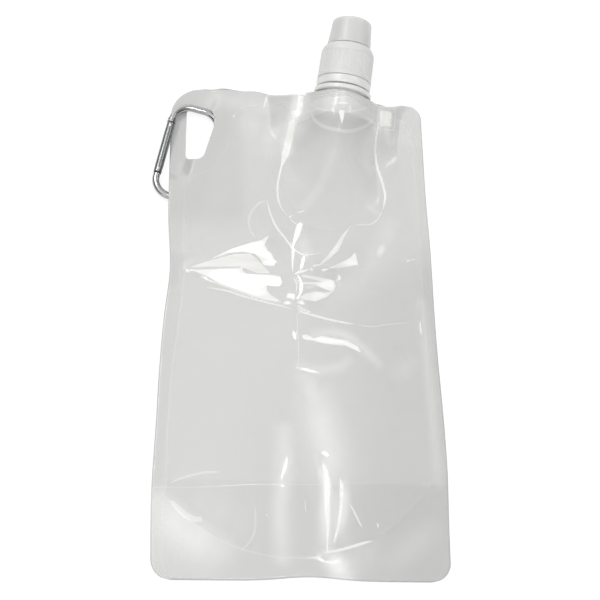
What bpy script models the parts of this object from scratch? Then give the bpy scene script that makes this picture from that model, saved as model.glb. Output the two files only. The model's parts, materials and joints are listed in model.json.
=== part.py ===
"""Soft flask: a foldable film pouch with a welded spout, a screw cap that carries a pull nozzle
under a dust cover, and a small carabiner threaded through the hole of its tab.

The empty flask lies on its back: +Z is up, +Y runs towards the spout and +X to the right.
Sizes are in metres. Pouch coordinates start at the middle of the bottom edge, on the table.
"""

import math

import bmesh
import bpy
from mathutils import Matrix, Vector

MM = 0.001

# Film panels
POUCH_WIDTH = 120.0 * MM
POUCH_LENGTH = 228.0 * MM
FILM = 0.25 * MM
GAP = 0.3 * MM
CORNER_RADIUS = 8.0 * MM
TAB_CORNER_RADIUS = 15.0 * MM
LEFT_SEAL = 7.5 * MM
RIGHT_SEAL = 5.0 * MM
TOP_SEAL = 9.0 * MM
SIDE_TUCK = 1.7 * MM
TUCK_UP = 8.0 * MM
TUCK_REACH = 17.0 * MM
LEFT_INSET = 1.5 * MM
RIGHT_INSET = 0.8 * MM
LEFT_INSET_FROM = 75.0 * MM
LEFT_INSET_TO = 130.0 * MM
LEFT_BULGE = 1.2 * MM
LEFT_BULGE_AT = 33.0 * MM
LEFT_BULGE_REACH = 30.0 * MM
RIGHT_SHIFT = 0.4 * MM
RIGHT_INSET_FROM = 140.0 * MM
RIGHT_INSET_TO = 185.0 * MM
RIGHT_BULGE = 1.44 * MM
RIGHT_BULGE_AT = 58.0 * MM
RIGHT_BULGE_REACH = 34.0 * MM
BOTTOM_RISE = 1.6 * MM
RISE_X = 3.0 * MM
RISE_HALF = 15.0 * MM
RISE_REACH = 30.0 * MM
TOP_DROP = 2.2 * MM
DROP_FROM = 10.0 * MM
DROP_TO = 45.0 * MM
PULL_REACH = 80.0 * MM
HEAD_REACH = 28.0 * MM

# Bottom gusset: a film folded in between the panels
GUSSET_DEPTH = 40.0 * MM
GUSSET_OPENING = 0.5 * MM
GUSSET_STEP_FROM = 1.2 * MM
GUSSET_STEP_TO = 6.0 * MM
GUSSET_ROW_FROM = 1.0 * MM
GUSSET_ROW_TO = 6.2 * MM
GUSSET_FOLD_REACH = 14.0 * MM

# Middle crease, where the flask folds in half
FOLD_Y = 128.0 * MM
FOLD_HEIGHT = 4.5 * MM
CREASE_OPENING = 0.8 * MM
CREASE_HALF = 14.0 * MM
CREASE_SIDE = 20.0 * MM
LOWER_PUFF = 4.0 * MM
UPPER_PUFF = 3.4 * MM

# How far the panels take to swell from each welded seam
SIDE_SLOPE = 30.0 * MM
CREASE_SLOPE = 42.0 * MM
BOTTOM_SEAL = 8.0 * MM
BOTTOM_SLOPE = 47.0 * MM
TAB_SEAM = 16.0 * MM
TAB_SLOPE = 24.0 * MM
TOP_SLOPE = 25.0 * MM

# Spout: its axis leans to the right and rises towards the cap
SPOUT_FROM_RIGHT = 41.9 * MM
SPOUT_FROM_TOP = 19.2 * MM
SPOUT_X = POUCH_WIDTH / 2 - SPOUT_FROM_RIGHT
SPOUT_Y = POUCH_LENGTH - SPOUT_FROM_TOP
SPOUT_LEAN = math.radians(7.3)
SPOUT_TILT = math.radians(14.0)
WELD_HALF_WIDTH = 16.7 * MM
WELD_HALF_THICKNESS = 11.0 * MM
WELD_LENGTH = 10.0 * MM
WELD_RIBS = 4
WELD_GROOVE = 0.5 * MM
WELD_CLEARANCE = 0.7 * MM
WELD_EDGE = 0.4 * MM
TONGUE_LENGTH = 52.0 * MM
TONGUE_SPREAD = 0.19
LEFT_WING = 19.0 * MM
RIGHT_WING = 13.5 * MM
WING_OPENING = 0.35 * MM
BACK_RETURN = 18.0 * MM
LEFT_PULL = 26.0 * MM
RIGHT_PULL = 12.5 * MM

# Neck of the fitment, measured along the spout axis from the foot of the weld base
BORE_RADIUS = 7.8 * MM
NECK_RADIUS = 9.4 * MM
NECK_TOP = 29.0 * MM
FLANGE_RADIUS = 13.2 * MM
FLANGE_FOOT = 10.6 * MM
FLANGE_HEIGHT = 1.4 * MM
BEAD_HEIGHT = 0.8 * MM
BEAD_RISE = 1.0 * MM
THREAD_PITCH = 3.2 * MM
THREAD_WIRE = 0.7 * MM
THREAD_START = 20.0 * MM
NECK_THREAD_TURNS = 1.75
CAP_THREAD_TURNS = 1.5
THREAD_PLAY = 0.25 * MM

# Tamper ring
RING_FOOT = 13.6 * MM
RING_HEIGHT = 3.8 * MM
RING_WALL = 1.6 * MM
RING_LIP = 0.9 * MM

# Screw cap
CAP_RADIUS = 12.5 * MM
CAP_WALL = 1.4 * MM
CAP_TAPER = 0.2 * MM
CAP_SKIRT_TOP = 29.8 * MM
CAP_TOP = 34.1 * MM
CAP_ROOF_UNDERSIDE_PLAY = 0.3 * MM
CAP_RIM = 1.6 * MM
CAP_RIBS = 60
RIB_DEPTH = 0.4 * MM
LINER_THICKNESS = 1.0 * MM
LINER_PLAY = 0.4 * MM
BOSS_RADIUS = 8.6 * MM
BOSS_HEIGHT = 2.5 * MM
BOSS_WALL = 1.0 * MM
WELL_FLOOR = 32.8 * MM
CHIMNEY_RADIUS = 4.9 * MM
CHIMNEY_BORE = 3.3 * MM
CHIMNEY_TOP = 39.6 * MM
CHIMNEY_LID = 1.2 * MM
PLUG_RADIUS = 1.6 * MM
PORT_RADIUS = 0.6 * MM
PORTS = 4

# Pull nozzle
NOZZLE_FOOT = 34.4 * MM
NOZZLE_WALL = 1.4 * MM
NOZZLE_TOP = 41.6 * MM
NOZZLE_LID = 1.6 * MM
NOZZLE_LIP_RADIUS = 4.4 * MM
NOZZLE_GRIP = 0.5 * MM

# Dust cover
COVER_BASE_RADIUS = 10.1 * MM
COVER_TOP_RADIUS = 9.1 * MM
COVER_TOP = 47.2 * MM
COVER_WALL = 0.9 * MM
COVER_ROUND = 1.6 * MM

# Carabiner: a D of bent wire, its plane slightly tilted so that the wire passes over the tab at
# the gate side and under it at the spine
RING_FROM_LEFT = 8.7 * MM
RING_FROM_TOP = 35.7 * MM
RING_X = RING_FROM_LEFT - POUCH_WIDTH / 2
RING_Y = POUCH_LENGTH - RING_FROM_TOP
RING_LEAN = math.radians(11.8)
RING_ROLL = math.radians(3.6)
RING_PITCH = math.radians(1.36)
WIRE_RADIUS = 1.6 * MM
RING_HALF_WIDTH = 10.0 * MM
RING_HALF_LENGTH = 23.3 * MM
RING_BEND = 8.0 * MM
FLOOR_GAP = 0.05 * MM

# The tab's lie over the wire: how far from the wire's end and spine it climbs and sinks again
END_CLIMB_FROM = 14.0 * MM
END_CLIMB_TO = 4.0 * MM
SPINE_CLIMB_AT = -0.5 * MM
SPINE_CLIMB_RUN = 5.8 * MM
SPINE_SHIFT = 4.0 * MM
SPINE_SHIFT_FROM = 6.0 * MM
SPINE_SHIFT_TO = 4.0 * MM
PAST_SPINE = 3.0 * MM
PAST_END = 3.5 * MM
SINK_RUN = 14.0 * MM
NOSE_SINK_RUN = 10.0 * MM

# Gate of the carabiner
GATE_RADIUS = 1.9 * MM
HINGE_UP = 3.2 * MM
GATE_TAIL = 1.5 * MM
FOOT_PLAY = 0.65 * MM
GATE_SLOT = 1.5 * MM
GATE_SLOT_DEPTH = 3.2 * MM
TONGUE_THICKNESS = 0.9 * MM
HINGE_TONGUE_RADIUS = 1.4 * MM
TONGUE_ROOT = 1.5 * MM
PIN_RADIUS = 0.5 * MM
PIN_HEAD = 0.15 * MM
LATCH_DOWN = 2.0 * MM
NOSE_HOOK = 3.6 * MM
NOSE_HALF_WIDTH = 1.3 * MM
NOSE_DOWN = 2.4 * MM
NOSE_COLLAR_RADIUS = 2.0 * MM
NOSE_COLLAR_LENGTH = 2.2 * MM
NOTCH_PLAY = 0.3 * MM
SPRING_BORE = 1.0 * MM
SPRING_LENGTH = 8.5 * MM
SPRING_WIRE = 0.15 * MM
SPRING_TURNS = 6
FOLLOWER_LENGTH = 3.0 * MM

# Hole of the tab, from the pouch's left and top edges, and the radii of its corners
HOLE_FROM_LEFT = 8.6 * MM
HOLE_FROM_TOP = 10.4 * MM
HOLE_WIDTH = 13.3 * MM
HOLE_HEIGHT = 29.6 * MM
HOLE_SLANT = 5.2 * MM
HOLE_SHOULDER = 12.0 * MM
HOLE_ROUND = 4.5 * MM
HOLE_SIDE_ROUND = 7.5 * MM
HOLE_RIGHT_ROUND = 8.0 * MM
HOLE_LEFT_ROUND = 3.5 * MM
PUNCH_LOW = -5.0 * MM
PUNCH_HIGH = 25.0 * MM

# How finely the round pieces are divided
TURN_STEPS = 32
CORNER_ROWS = 3
UPPER_ROW_LEAST = 0.9 * MM
LOWER_ROW_LEAST = 0.5 * MM
COLUMN_LEAST = 1.5 * MM
TAB_COLUMNS_CLEAR = 8.0 * MM

# The object's own origin: the middle of its box, on the table
GATE_REACH = 14.68 * MM
COVER_EDGE_REACH = 0.26 * MM
BOX_LEFT = GATE_REACH - RING_X
BOX_RIGHT = POUCH_WIDTH / 2 + RIGHT_SHIFT + RIGHT_BULGE
BOX_TOP = SPOUT_Y + COVER_TOP + COVER_EDGE_REACH


def smooth(value, low, high):
    """0 up to low, 1 from high on, and an S curve between them."""
    share = min(max((value - low) / (high - low), 0.0), 1.0)
    return share * share * (3.0 - 2.0 * share)


def bump(distance, reach):
    """A bell that is 1 at distance 0 and dies away past reach."""
    return math.exp(-((distance / reach) ** 2))


# Spout frame: local Z is the spout axis, local X points across it, local Y up out of the pouch
WELD_FILM_HALF = WELD_HALF_WIDTH + WELD_CLEARANCE + GAP
WELD_FILM_RISE = (WELD_HALF_THICKNESS + WELD_CLEARANCE) / math.cos(SPOUT_TILT)
SPOUT_Z = WELD_FILM_RISE + FILM / 2
PANEL_STEP = FILM + GAP


def spout_matrix():
    """Turns the spout frame so that its Z leans right, runs up the pouch and rises by the tilt."""
    upright = Matrix.Rotation(-(math.pi / 2 - SPOUT_TILT), 4, "X")
    lean = Matrix.Rotation(-SPOUT_LEAN, 4, "Z")
    return Matrix.Translation((SPOUT_X, SPOUT_Y, SPOUT_Z)) @ lean @ upright


def spout_place(x, y):
    """Across and along distances of a place on the table, from the foot of the spout."""
    dx = x - SPOUT_X
    dy = y - SPOUT_Y
    across = dx * math.cos(SPOUT_LEAN) - dy * math.sin(SPOUT_LEAN)
    along = dx * math.sin(SPOUT_LEAN) + dy * math.cos(SPOUT_LEAN)
    return across, along


def weld_half(across, half_width, half_thickness):
    """Half thickness of the weld base's section at a distance across it: a bulge with thin wings."""
    if abs(across) >= half_width:
        return 0.0
    return half_thickness * math.cos(math.pi * across / (2 * half_width))


def past_weld(across):
    """How far a place lies outside the weld base, and the reach of the wing on that side."""
    reach = LEFT_WING if across < 0 else RIGHT_WING
    return max(abs(across) - WELD_FILM_HALF, 0.0), reach


def spout_lift(x, y):
    """Height of the back panel's underside where the spout and its wings lift it."""
    across, along = spout_place(x, y)
    up = max(along, 0.0)
    axis_height = SPOUT_Z + up * math.tan(SPOUT_TILT) - FILM / 2
    half = weld_half(across, WELD_FILM_HALF, WELD_FILM_RISE)
    half = math.hypot(half, PANEL_STEP / 2)
    outside, reach = past_weld(across)
    lift = (axis_height - half) * (1 - smooth(outside, 0, reach))
    return max(lift, 0.0) * (1 - smooth(-along, 0, BACK_RETURN))


def tongue_gap(x, y):
    """Gap between the panels over the weld base and in the swelling that runs down from it."""
    across, along = spout_place(x, y)
    down = max(-along, 0.0)
    half_width = WELD_FILM_HALF + TONGUE_SPREAD * down
    rise = WELD_FILM_RISE * (1 - smooth(down, 0, TONGUE_LENGTH))
    return 2 * weld_half(across, half_width, rise)


# Carabiner frame: local X points to the spine, local Y to the nose, local Z up
RING_TURN = (
    Matrix.Rotation(-RING_LEAN, 4, "Z")
    @ Matrix.Rotation(RING_ROLL, 4, "Y")
    @ Matrix.Rotation(RING_PITCH, 4, "X")
)


def arc_points(centre, radius, start, end, count):
    """Points along an arc, from one angle to another in degrees, both ends included."""
    points = []
    for index in range(count + 1):
        angle = math.radians(start + (end - start) * index / count)
        points.append((centre[0] + radius * math.cos(angle), centre[1] + radius * math.sin(angle)))
    return points


BEND_X = RING_HALF_WIDTH - RING_BEND
BEND_Y = RING_HALF_LENGTH - RING_BEND
HINGE_X = -RING_HALF_WIDTH
HINGE_Y = HINGE_UP - BEND_Y
NOSE_Y = BEND_Y - NOSE_DOWN
GATE_FOOT = HINGE_Y - GATE_TAIL
GATE_TIP = NOSE_Y - GAP
LATCH_Y = NOSE_Y - LATCH_DOWN


def wire_path():
    """Centre line of the bent wire, from the foot of the gate round to the nose."""
    bend = 6
    points = [(-RING_HALF_WIDTH, GATE_FOOT - FOOT_PLAY)]
    points += arc_points((-BEND_X, -BEND_Y), RING_BEND, 180, 270, bend)
    points += arc_points((BEND_X, -BEND_Y), RING_BEND, 270, 360, bend)
    points += arc_points((BEND_X, BEND_Y), RING_BEND, 0, 90, bend)
    points += arc_points((-BEND_X, BEND_Y), RING_BEND, 90, 180, bend)
    points.append((-RING_HALF_WIDTH, NOSE_Y))
    return points


def deepest_drop():
    """How far the tilted plane drops below the carabiner's centre along its wire."""
    return max(-(RING_TURN @ Vector((u, v, 0.0))).z for u, v in wire_path())


RING_Z = WIRE_RADIUS + FLOOR_GAP + deepest_drop()
RING_NORMAL = RING_TURN.to_3x3() @ Vector((0, 0, 1))


def ring_lift(x, y):
    """Height of the back panel's underside where it lies over the carabiner's wire."""
    dx = x - RING_X
    dy = y - RING_Y
    u = dx * math.cos(RING_LEAN) - dy * math.sin(RING_LEAN)
    v = dx * math.sin(RING_LEAN) + dy * math.cos(RING_LEAN)
    plane = RING_Z - (RING_NORMAL.x * dx + RING_NORMAL.y * dy) / RING_NORMAL.z
    wire_top = plane + WIRE_RADIUS + GAP
    over_foot = smooth(-v, RING_HALF_LENGTH - END_CLIMB_FROM, RING_HALF_LENGTH - END_CLIMB_TO)
    near_nose = smooth(v, RING_HALF_LENGTH - SPINE_SHIFT_FROM, RING_HALF_LENGTH + SPINE_SHIFT_TO)
    spine_from = SPINE_CLIMB_AT + SPINE_SHIFT * near_nose
    over_spine = smooth(u, spine_from, spine_from + SPINE_CLIMB_RUN)
    over = 1 - (1 - over_foot) * (1 - over_spine)
    beyond_spine = RING_HALF_WIDTH + PAST_SPINE
    beyond_end = RING_HALF_LENGTH + PAST_END
    fade = 1 - smooth(u, beyond_spine, beyond_spine + SINK_RUN)
    fade *= 1 - smooth(-v, beyond_end, beyond_end + SINK_RUN)
    fade *= 1 - 0.6 * smooth(v, beyond_end, beyond_end + NOSE_SINK_RUN)
    return wire_top * over * fade


def corner_inset(distance, radius):
    """How far a round corner draws a side in, at a distance from the end edge."""
    if distance >= radius:
        return 0.0
    left = radius - max(distance, 0.0)
    return radius - math.sqrt(radius**2 - left**2)


def left_side(y):
    """X of the left edge at a height of the pouch."""
    tuck = SIDE_TUCK * bump(y - FOLD_Y - TUCK_UP, TUCK_REACH)
    bulge = LEFT_BULGE * bump(y - LEFT_BULGE_AT, LEFT_BULGE_REACH)
    inset = LEFT_INSET * smooth(y, LEFT_INSET_FROM, LEFT_INSET_TO) - bulge
    corner = corner_inset(y, CORNER_RADIUS) + corner_inset(POUCH_LENGTH - y, TAB_CORNER_RADIUS)
    return -POUCH_WIDTH / 2 + inset + tuck + corner


def right_side(y):
    """X of the right edge at a height of the pouch."""
    bulge = RIGHT_BULGE * bump(y - RIGHT_BULGE_AT, RIGHT_BULGE_REACH)
    inset = RIGHT_INSET * smooth(y, RIGHT_INSET_FROM, RIGHT_INSET_TO) - bulge
    corner = corner_inset(y, CORNER_RADIUS) + corner_inset(POUCH_LENGTH - y, CORNER_RADIUS)
    return POUCH_WIDTH / 2 + RIGHT_SHIFT - inset - corner


# The top edge is drawn down where the panels climb to the weld base
EDGE_ALONG = (WELD_LENGTH - WELD_EDGE) * math.cos(SPOUT_TILT)
SPOUT_PULL = POUCH_LENGTH - SPOUT_Y - EDGE_ALONG


def panel_place(share, row, facing):
    """Place on the table of a panel's point: a share of the width at a row, on the front or back."""
    x = left_side(row) + share * (right_side(row) - left_side(row))
    across, _ = spout_place(x, row)
    outside = max(abs(across) - WELD_FILM_HALF, 0.0)
    square = min(max(across, -0.4 * WELD_FILM_HALF), WELD_FILM_HALF) * math.tan(SPOUT_LEAN)
    reach = LEFT_PULL if across < 0 else RIGHT_PULL
    drop = TOP_DROP * smooth(x, DROP_FROM, DROP_TO)
    pull = drop + (SPOUT_PULL + square - drop) * (1 - smooth(outside, 0, reach))
    lens = weld_half(across, WELD_FILM_HALF, WELD_HALF_THICKNESS)
    slope = facing * math.sin(SPOUT_TILT) * lens
    near_top = smooth(row, POUCH_LENGTH - PULL_REACH, POUCH_LENGTH)
    at_top = smooth(row, POUCH_LENGTH - HEAD_REACH, POUCH_LENGTH)
    rise = BOTTOM_RISE * bump(x - RISE_X, RISE_HALF) * (1 - smooth(row, 0, RISE_REACH))
    return x, row - near_top * pull - at_top * slope + rise


def chamber(x, y, row):
    """0 on the welded margins and at the crease, 1 in the middle of the water chamber."""
    from_left = x - left_side(row) - LEFT_SEAL
    from_right = right_side(row) - RIGHT_SEAL - x
    value = smooth(from_left, 0, SIDE_SLOPE) * smooth(from_right, 0, SIDE_SLOPE)
    value *= smooth(abs(y - FOLD_Y), 0, CREASE_SLOPE)
    value *= smooth(y, BOTTOM_SEAL, BOTTOM_SEAL + BOTTOM_SLOPE)
    tab = (x - RING_X) * 0.88 - (y - RING_Y - RING_HALF_LENGTH) * 0.47
    value *= smooth(tab, TAB_SEAM, TAB_SEAM + TAB_SLOPE)
    return value * smooth(POUCH_LENGTH - TOP_SEAL - row, 0, TOP_SLOPE)


def gusset_share(y):
    """1 where the folded gusset lies between the panels, 0 above it."""
    return 1 - smooth(y, GUSSET_DEPTH + GUSSET_STEP_FROM, GUSSET_DEPTH + GUSSET_STEP_TO)


def back_height(x, y, row, upper):
    """Middle height of the back panel."""
    if not upper:
        return FILM / 2
    return FILM / 2 + max(ring_lift(x, y), spout_lift(x, y))


def front_height(x, y, row, upper):
    """Middle height of the front panel: the back panel's, and the gap between them."""
    puff = chamber(x, y, row)
    if upper:
        free = math.hypot(tongue_gap(x, y), UPPER_PUFF * puff)
        outside, reach = past_weld(spout_place(x, y)[0])
        wing = smooth(outside, 0, reach)
        least = PANEL_STEP + WING_OPENING * 4 * wing * (1 - wing)
    else:
        free = LOWER_PUFF * puff
        least = PANEL_STEP + gusset_share(y) * (2 * PANEL_STEP + GUSSET_OPENING + FILM - PANEL_STEP)
    middle = smooth(x - left_side(row), 0, CREASE_SIDE) * smooth(right_side(row) - x, 0, CREASE_SIDE)
    opening = CREASE_OPENING * bump(y - FOLD_Y, CREASE_HALF) * middle
    return back_height(x, y, row, upper) + math.hypot(least, free) + opening


def new_collection(name, shown):
    """A collection linked to the scene."""
    made = bpy.data.collections.new(name)
    made.hide_render = not shown
    bpy.context.scene.collection.children.link(made)
    return made


def clear_scene():
    """Removes every object of the scene."""
    for old in list(bpy.data.objects):
        bpy.data.objects.remove(old)


def material(name, colour, roughness, metallic=0.0, alpha=1.0):
    """A Principled material."""
    made = bpy.data.materials.new(name)
    made.use_nodes = True
    shader = made.node_tree.nodes["Principled BSDF"]
    shader.inputs["Base Color"].default_value = (*colour, 1.0)
    shader.inputs["Roughness"].default_value = roughness
    shader.inputs["Metallic"].default_value = metallic
    shader.inputs["Alpha"].default_value = alpha
    return made


def add(name, mesh, look, parent, helper=False):
    """Links a mesh object under a parent empty, as a part or as a helper that isn't shown."""
    made = bpy.data.objects.new(name, mesh)
    (CUTTERS if helper else PARTS).objects.link(made)
    made.parent = parent
    if helper:
        made.hide_render = True
        made.display_type = "WIRE"
    else:
        mesh.materials.append(look)
    return made


def empty(name, matrix, parent=None):
    """An empty that carries pieces, placed in its parent's frame."""
    made = bpy.data.objects.new(name, None)
    PARTS.objects.link(made)
    made.parent = parent
    made.matrix_local = matrix
    return made


def boolean(target, helper, operation="DIFFERENCE"):
    """Cuts a helper out of an object, or joins it on."""
    modifier = target.modifiers.new(helper.name, "BOOLEAN")
    modifier.operation = operation
    modifier.object = helper
    modifier.solver = "EXACT"
    return modifier


def turned(name, profile, look, parent, closed=False, steps=TURN_STEPS, helper=False):
    """A turned solid from (radius, height) points that run down its outer side."""
    mesh = bpy.data.meshes.new(name)
    points = [(radius, 0.0, height) for radius, height in profile]
    edges = [(index, index + 1) for index in range(len(points) - 1)]
    if closed:
        edges.append((len(points) - 1, 0))
    mesh.from_pydata(points, edges, [])
    made = add(name, mesh, look, parent, helper)
    screw = made.modifiers.new("Turn", "SCREW")
    screw.axis = "Z"
    screw.steps = steps
    screw.render_steps = steps
    screw.use_merge_vertices = True
    screw.merge_threshold = 0.00001
    screw.use_smooth_shade = True
    return made


def mesh_of_curve(name, curve, look, parent, helper=False):
    """Turns a curve into a closed mesh object, with its caps welded on."""
    guide = bpy.data.objects.new(name + "_guide", curve)
    bpy.context.scene.collection.objects.link(guide)
    bpy.context.view_layer.update()
    graph = bpy.context.evaluated_depsgraph_get()
    mesh = bpy.data.meshes.new_from_object(guide.evaluated_get(graph))
    bpy.data.objects.remove(guide)
    shape = bmesh.new()
    shape.from_mesh(mesh)
    bmesh.ops.remove_doubles(shape, verts=shape.verts, dist=0.000005)
    bmesh.ops.recalc_face_normals(shape, faces=shape.faces)
    shape.to_mesh(mesh)
    shape.free()
    mesh.materials.clear()
    return add(name, mesh, look, parent, helper)


def wire(name, points, radius, look, parent, helper=False, sides=2):
    """A round wire along points."""
    curve = bpy.data.curves.new(name, "CURVE")
    curve.dimensions = "3D"
    curve.bevel_depth = radius
    curve.bevel_resolution = sides
    curve.use_fill_caps = True
    spline = curve.splines.new("POLY")
    spline.points.add(len(points) - 1)
    for point, place in zip(spline.points, points):
        point.co = (*place, 1.0)
    return mesh_of_curve(name, curve, look, parent, helper)


def plate(name, outlines, low, high, look, parent, helper=False):
    """A flat plate between two heights from closed outlines, the later ones being holes."""
    curve = bpy.data.curves.new(name, "CURVE")
    curve.dimensions = "2D"
    curve.fill_mode = "BOTH"
    curve.extrude = (high - low) / 2
    for outline in outlines:
        spline = curve.splines.new("POLY")
        spline.points.add(len(outline) - 1)
        spline.use_cyclic_u = True
        for point, (x, y) in zip(spline.points, outline):
            point.co = (x, y, 0.0, 1.0)
    made = mesh_of_curve(name, curve, look, parent, helper)
    made.location.z = (high + low) / 2
    return made


def box(name, low, high, look, parent, helper=False):
    """A box between two corners."""
    shape = bmesh.new()
    bmesh.ops.create_cube(shape, size=1.0)
    mesh = bpy.data.meshes.new(name)
    size = [top - bottom for bottom, top in zip(low, high)]
    middle = [(top + bottom) / 2 for bottom, top in zip(low, high)]
    bmesh.ops.scale(shape, vec=size, verts=shape.verts)
    bmesh.ops.translate(shape, vec=middle, verts=shape.verts)
    shape.to_mesh(mesh)
    shape.free()
    return add(name, mesh, look, parent, helper)


def rod(name, centre, low, high, radius, look, parent, helper=False, sides=12):
    """A cylinder along local Z between two heights."""
    shape = bmesh.new()
    bmesh.ops.create_cone(
        shape, cap_ends=True, segments=sides, radius1=radius, radius2=radius, depth=high - low
    )
    place = (centre[0], centre[1], (high + low) / 2)
    bmesh.ops.translate(shape, vec=place, verts=shape.verts)
    mesh = bpy.data.meshes.new(name)
    shape.to_mesh(mesh)
    shape.free()
    return add(name, mesh, look, parent, helper)


def round_outline(corners, count=4):
    """A closed outline whose corners, (x, y, radius) counterclockwise, are rounded."""
    points = []
    total = len(corners)
    for index, (x, y, radius) in enumerate(corners):
        here = Vector((x, y))
        before = (Vector(corners[index - 1][:2]) - here).normalized()
        after = (Vector(corners[(index + 1) % total][:2]) - here).normalized()
        half = before.angle(after) / 2
        inward = (before + after).normalized()
        centre = here + inward * (radius / math.sin(half))
        start = here + before * (radius / math.tan(half)) - centre
        end = here + after * (radius / math.tan(half)) - centre
        turn = start.angle_signed(end)
        for step in range(count + 1):
            angle = math.atan2(start.y, start.x) - turn * step / count
            points.append((centre.x + radius * math.cos(angle), centre.y + radius * math.sin(angle)))
    return points


def grid_surface(name, rows, look, parent):
    """An open surface through rows of points, given a wall by Solidify."""
    mesh = bpy.data.meshes.new(name)
    width = len(rows[0])
    points = [point for row in rows for point in row]
    faces = []
    for line in range(len(rows) - 1):
        for column in range(width - 1):
            corner = line * width + column
            faces.append((corner, corner + 1, corner + width + 1))
            faces.append((corner, corner + width + 1, corner + width))
    mesh.from_pydata(points, [], faces)
    made = add(name, mesh, look, parent)
    wall = made.modifiers.new("Film thickness", "SOLIDIFY")
    wall.thickness = FILM
    wall.offset = 0.0
    made.data.shade_smooth()
    return made


def corner_lines(radius):
    """Distances from an end edge at which a round corner has its rows of points."""
    turns = [index / (CORNER_ROWS + 1) * math.pi / 2 for index in range(1, CORNER_ROWS + 1)]
    return [radius * (1 - math.cos(turn)) for turn in turns]


def even_rows(low, high, count):
    """Evenly spaced values, both ends included."""
    return [low + (high - low) * index / count for index in range(count + 1)]


def thinned(values, least):
    """Sorted values with those dropped that lie too close to the one before, ends kept."""
    ordered = sorted(values)
    kept = [ordered[0]]
    for value in ordered[1:-1]:
        if value - kept[-1] >= least and ordered[-1] - value >= least:
            kept.append(value)
    return kept + [ordered[-1]]


def upper_rows():
    """Rows of the upper panels, from the crease to the top edge."""
    top = POUCH_LENGTH
    body = even_rows(FOLD_Y + GAP / 2, top - HEAD_REACH, 12)
    head = even_rows(top - HEAD_REACH, top, 8)
    corners = [top - line for line in corner_lines(CORNER_RADIUS) + corner_lines(TAB_CORNER_RADIUS)]
    return thinned(body + head + corners, UPPER_ROW_LEAST)


def lower_rows():
    """Rows of the lower panels, from the bottom edge to the crease."""
    corners = corner_lines(CORNER_RADIUS)
    step_foot = GUSSET_DEPTH + GUSSET_ROW_FROM
    step_top = GUSSET_DEPTH + GUSSET_ROW_TO
    gusset = even_rows(0.0, step_foot, 4)
    step = even_rows(step_foot, step_top, 2)
    body = even_rows(step_top, FOLD_Y - GAP / 2, 7)
    return thinned(corners + gusset + step + body, LOWER_ROW_LEAST)


def upper_columns():
    """Shares of the width at which the upper panels have their columns of points."""
    tab = even_rows(0.0, SPOUT_X - WELD_FILM_HALF - TAB_COLUMNS_CLEAR + POUCH_WIDTH / 2, 11)
    spout = [-1.75, -1.45, -1.2, -1.0, -0.82, -0.6, -0.35, -0.12]
    spout += [-value for value in reversed(spout)]
    weld = [SPOUT_X + POUCH_WIDTH / 2 + part * WELD_FILM_HALF for part in spout]
    right = even_rows(weld[-1], POUCH_WIDTH, 3)
    return [value / POUCH_WIDTH for value in thinned(tab + weld + right, COLUMN_LEAST)]


def lower_columns():
    """Shares of the width at which the lower panels have their columns of points."""
    return even_rows(0.0, 1.0, 12)


def panel(name, facing, upper, look, parent):
    """One half of the front or back film."""
    height = front_height if facing > 0 else back_height
    columns = upper_columns() if upper else lower_columns()
    grid = []
    for row in upper_rows() if upper else lower_rows():
        line = []
        for share in columns:
            x, y = panel_place(share, row, facing)
            line.append((x, y, height(x, y, row, upper)))
        grid.append(line)
    return grid_surface(name, grid, look, parent)


def gusset(name, look, parent):
    """The folded bottom film: in along the back panel, round its fold and out along the front."""
    rows = [row for row in lower_rows() if row <= GUSSET_DEPTH - GUSSET_ROW_FROM] + [GUSSET_DEPTH]
    bend = (GUSSET_OPENING + FILM) / 2
    low = FILM / 2 + PANEL_STEP
    grid = []
    for row in rows:
        grid.append([(*panel_place(share, row, -1), low) for share in lower_columns()])
    for angle in (45, 90, 135):
        reach = bend * math.sin(math.radians(angle))
        height = low + bend - bend * math.cos(math.radians(angle))
        line = []
        for share in lower_columns():
            x, y = panel_place(share, GUSSET_DEPTH, -1)
            line.append((x, y + reach, height))
        grid.append(line)
    for row in reversed(rows):
        line = []
        for share in lower_columns():
            x, y = panel_place(share, row, 1)
            puff = front_height(x, y, row, False) - FILM / 2 - 2 * PANEL_STEP - 2 * bend
            fold_side = 1 - smooth(y, GUSSET_DEPTH - GUSSET_FOLD_REACH, GUSSET_DEPTH)
            line.append((x, y, low + 2 * bend + max(puff - PANEL_STEP, 0.0) * fold_side))
        grid.append(line)
    return grid_surface(name, grid, look, parent)


def hole_outline():
    """The D-shaped hole of the tab, its right side slanting with the carabiner's spine."""
    left = HOLE_FROM_LEFT - POUCH_WIDTH / 2
    right = left + HOLE_WIDTH
    top = POUCH_LENGTH - HOLE_FROM_TOP
    bottom = top - HOLE_HEIGHT
    return round_outline(
        [
            (left, bottom, HOLE_ROUND),
            (right - HOLE_SLANT, bottom, HOLE_ROUND),
            (right, top - HOLE_SHOULDER, HOLE_SIDE_ROUND),
            (right, top, HOLE_RIGHT_ROUND),
            (left, top, HOLE_LEFT_ROUND),
        ]
    )


def make_pouch(origin):
    """The film panels and the bottom gusset."""
    film = material("film", (0.80, 0.80, 0.79), 0.12, alpha=0.45)
    panel("back_film_lower", -1, False, film, origin)
    panel("front_film_lower", 1, False, film, origin)
    gusset("bottom_gusset", film, origin)
    fold = empty("fold_axis", Matrix.Translation((0, FOLD_Y, FOLD_HEIGHT)), origin)
    back = panel("back_film_upper", -1, True, film, origin)
    front = panel("front_film_upper", 1, True, film, origin)
    punch = plate("tab_hole_punch", [hole_outline()], PUNCH_LOW, PUNCH_HIGH, None, origin, helper=True)
    for piece in (back, front):
        boolean(piece, punch)
        keep = piece.matrix_local.copy()
        piece.parent = fold
        piece.matrix_local = Matrix.Translation((0, -FOLD_Y, -FOLD_HEIGHT)) @ keep


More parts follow.
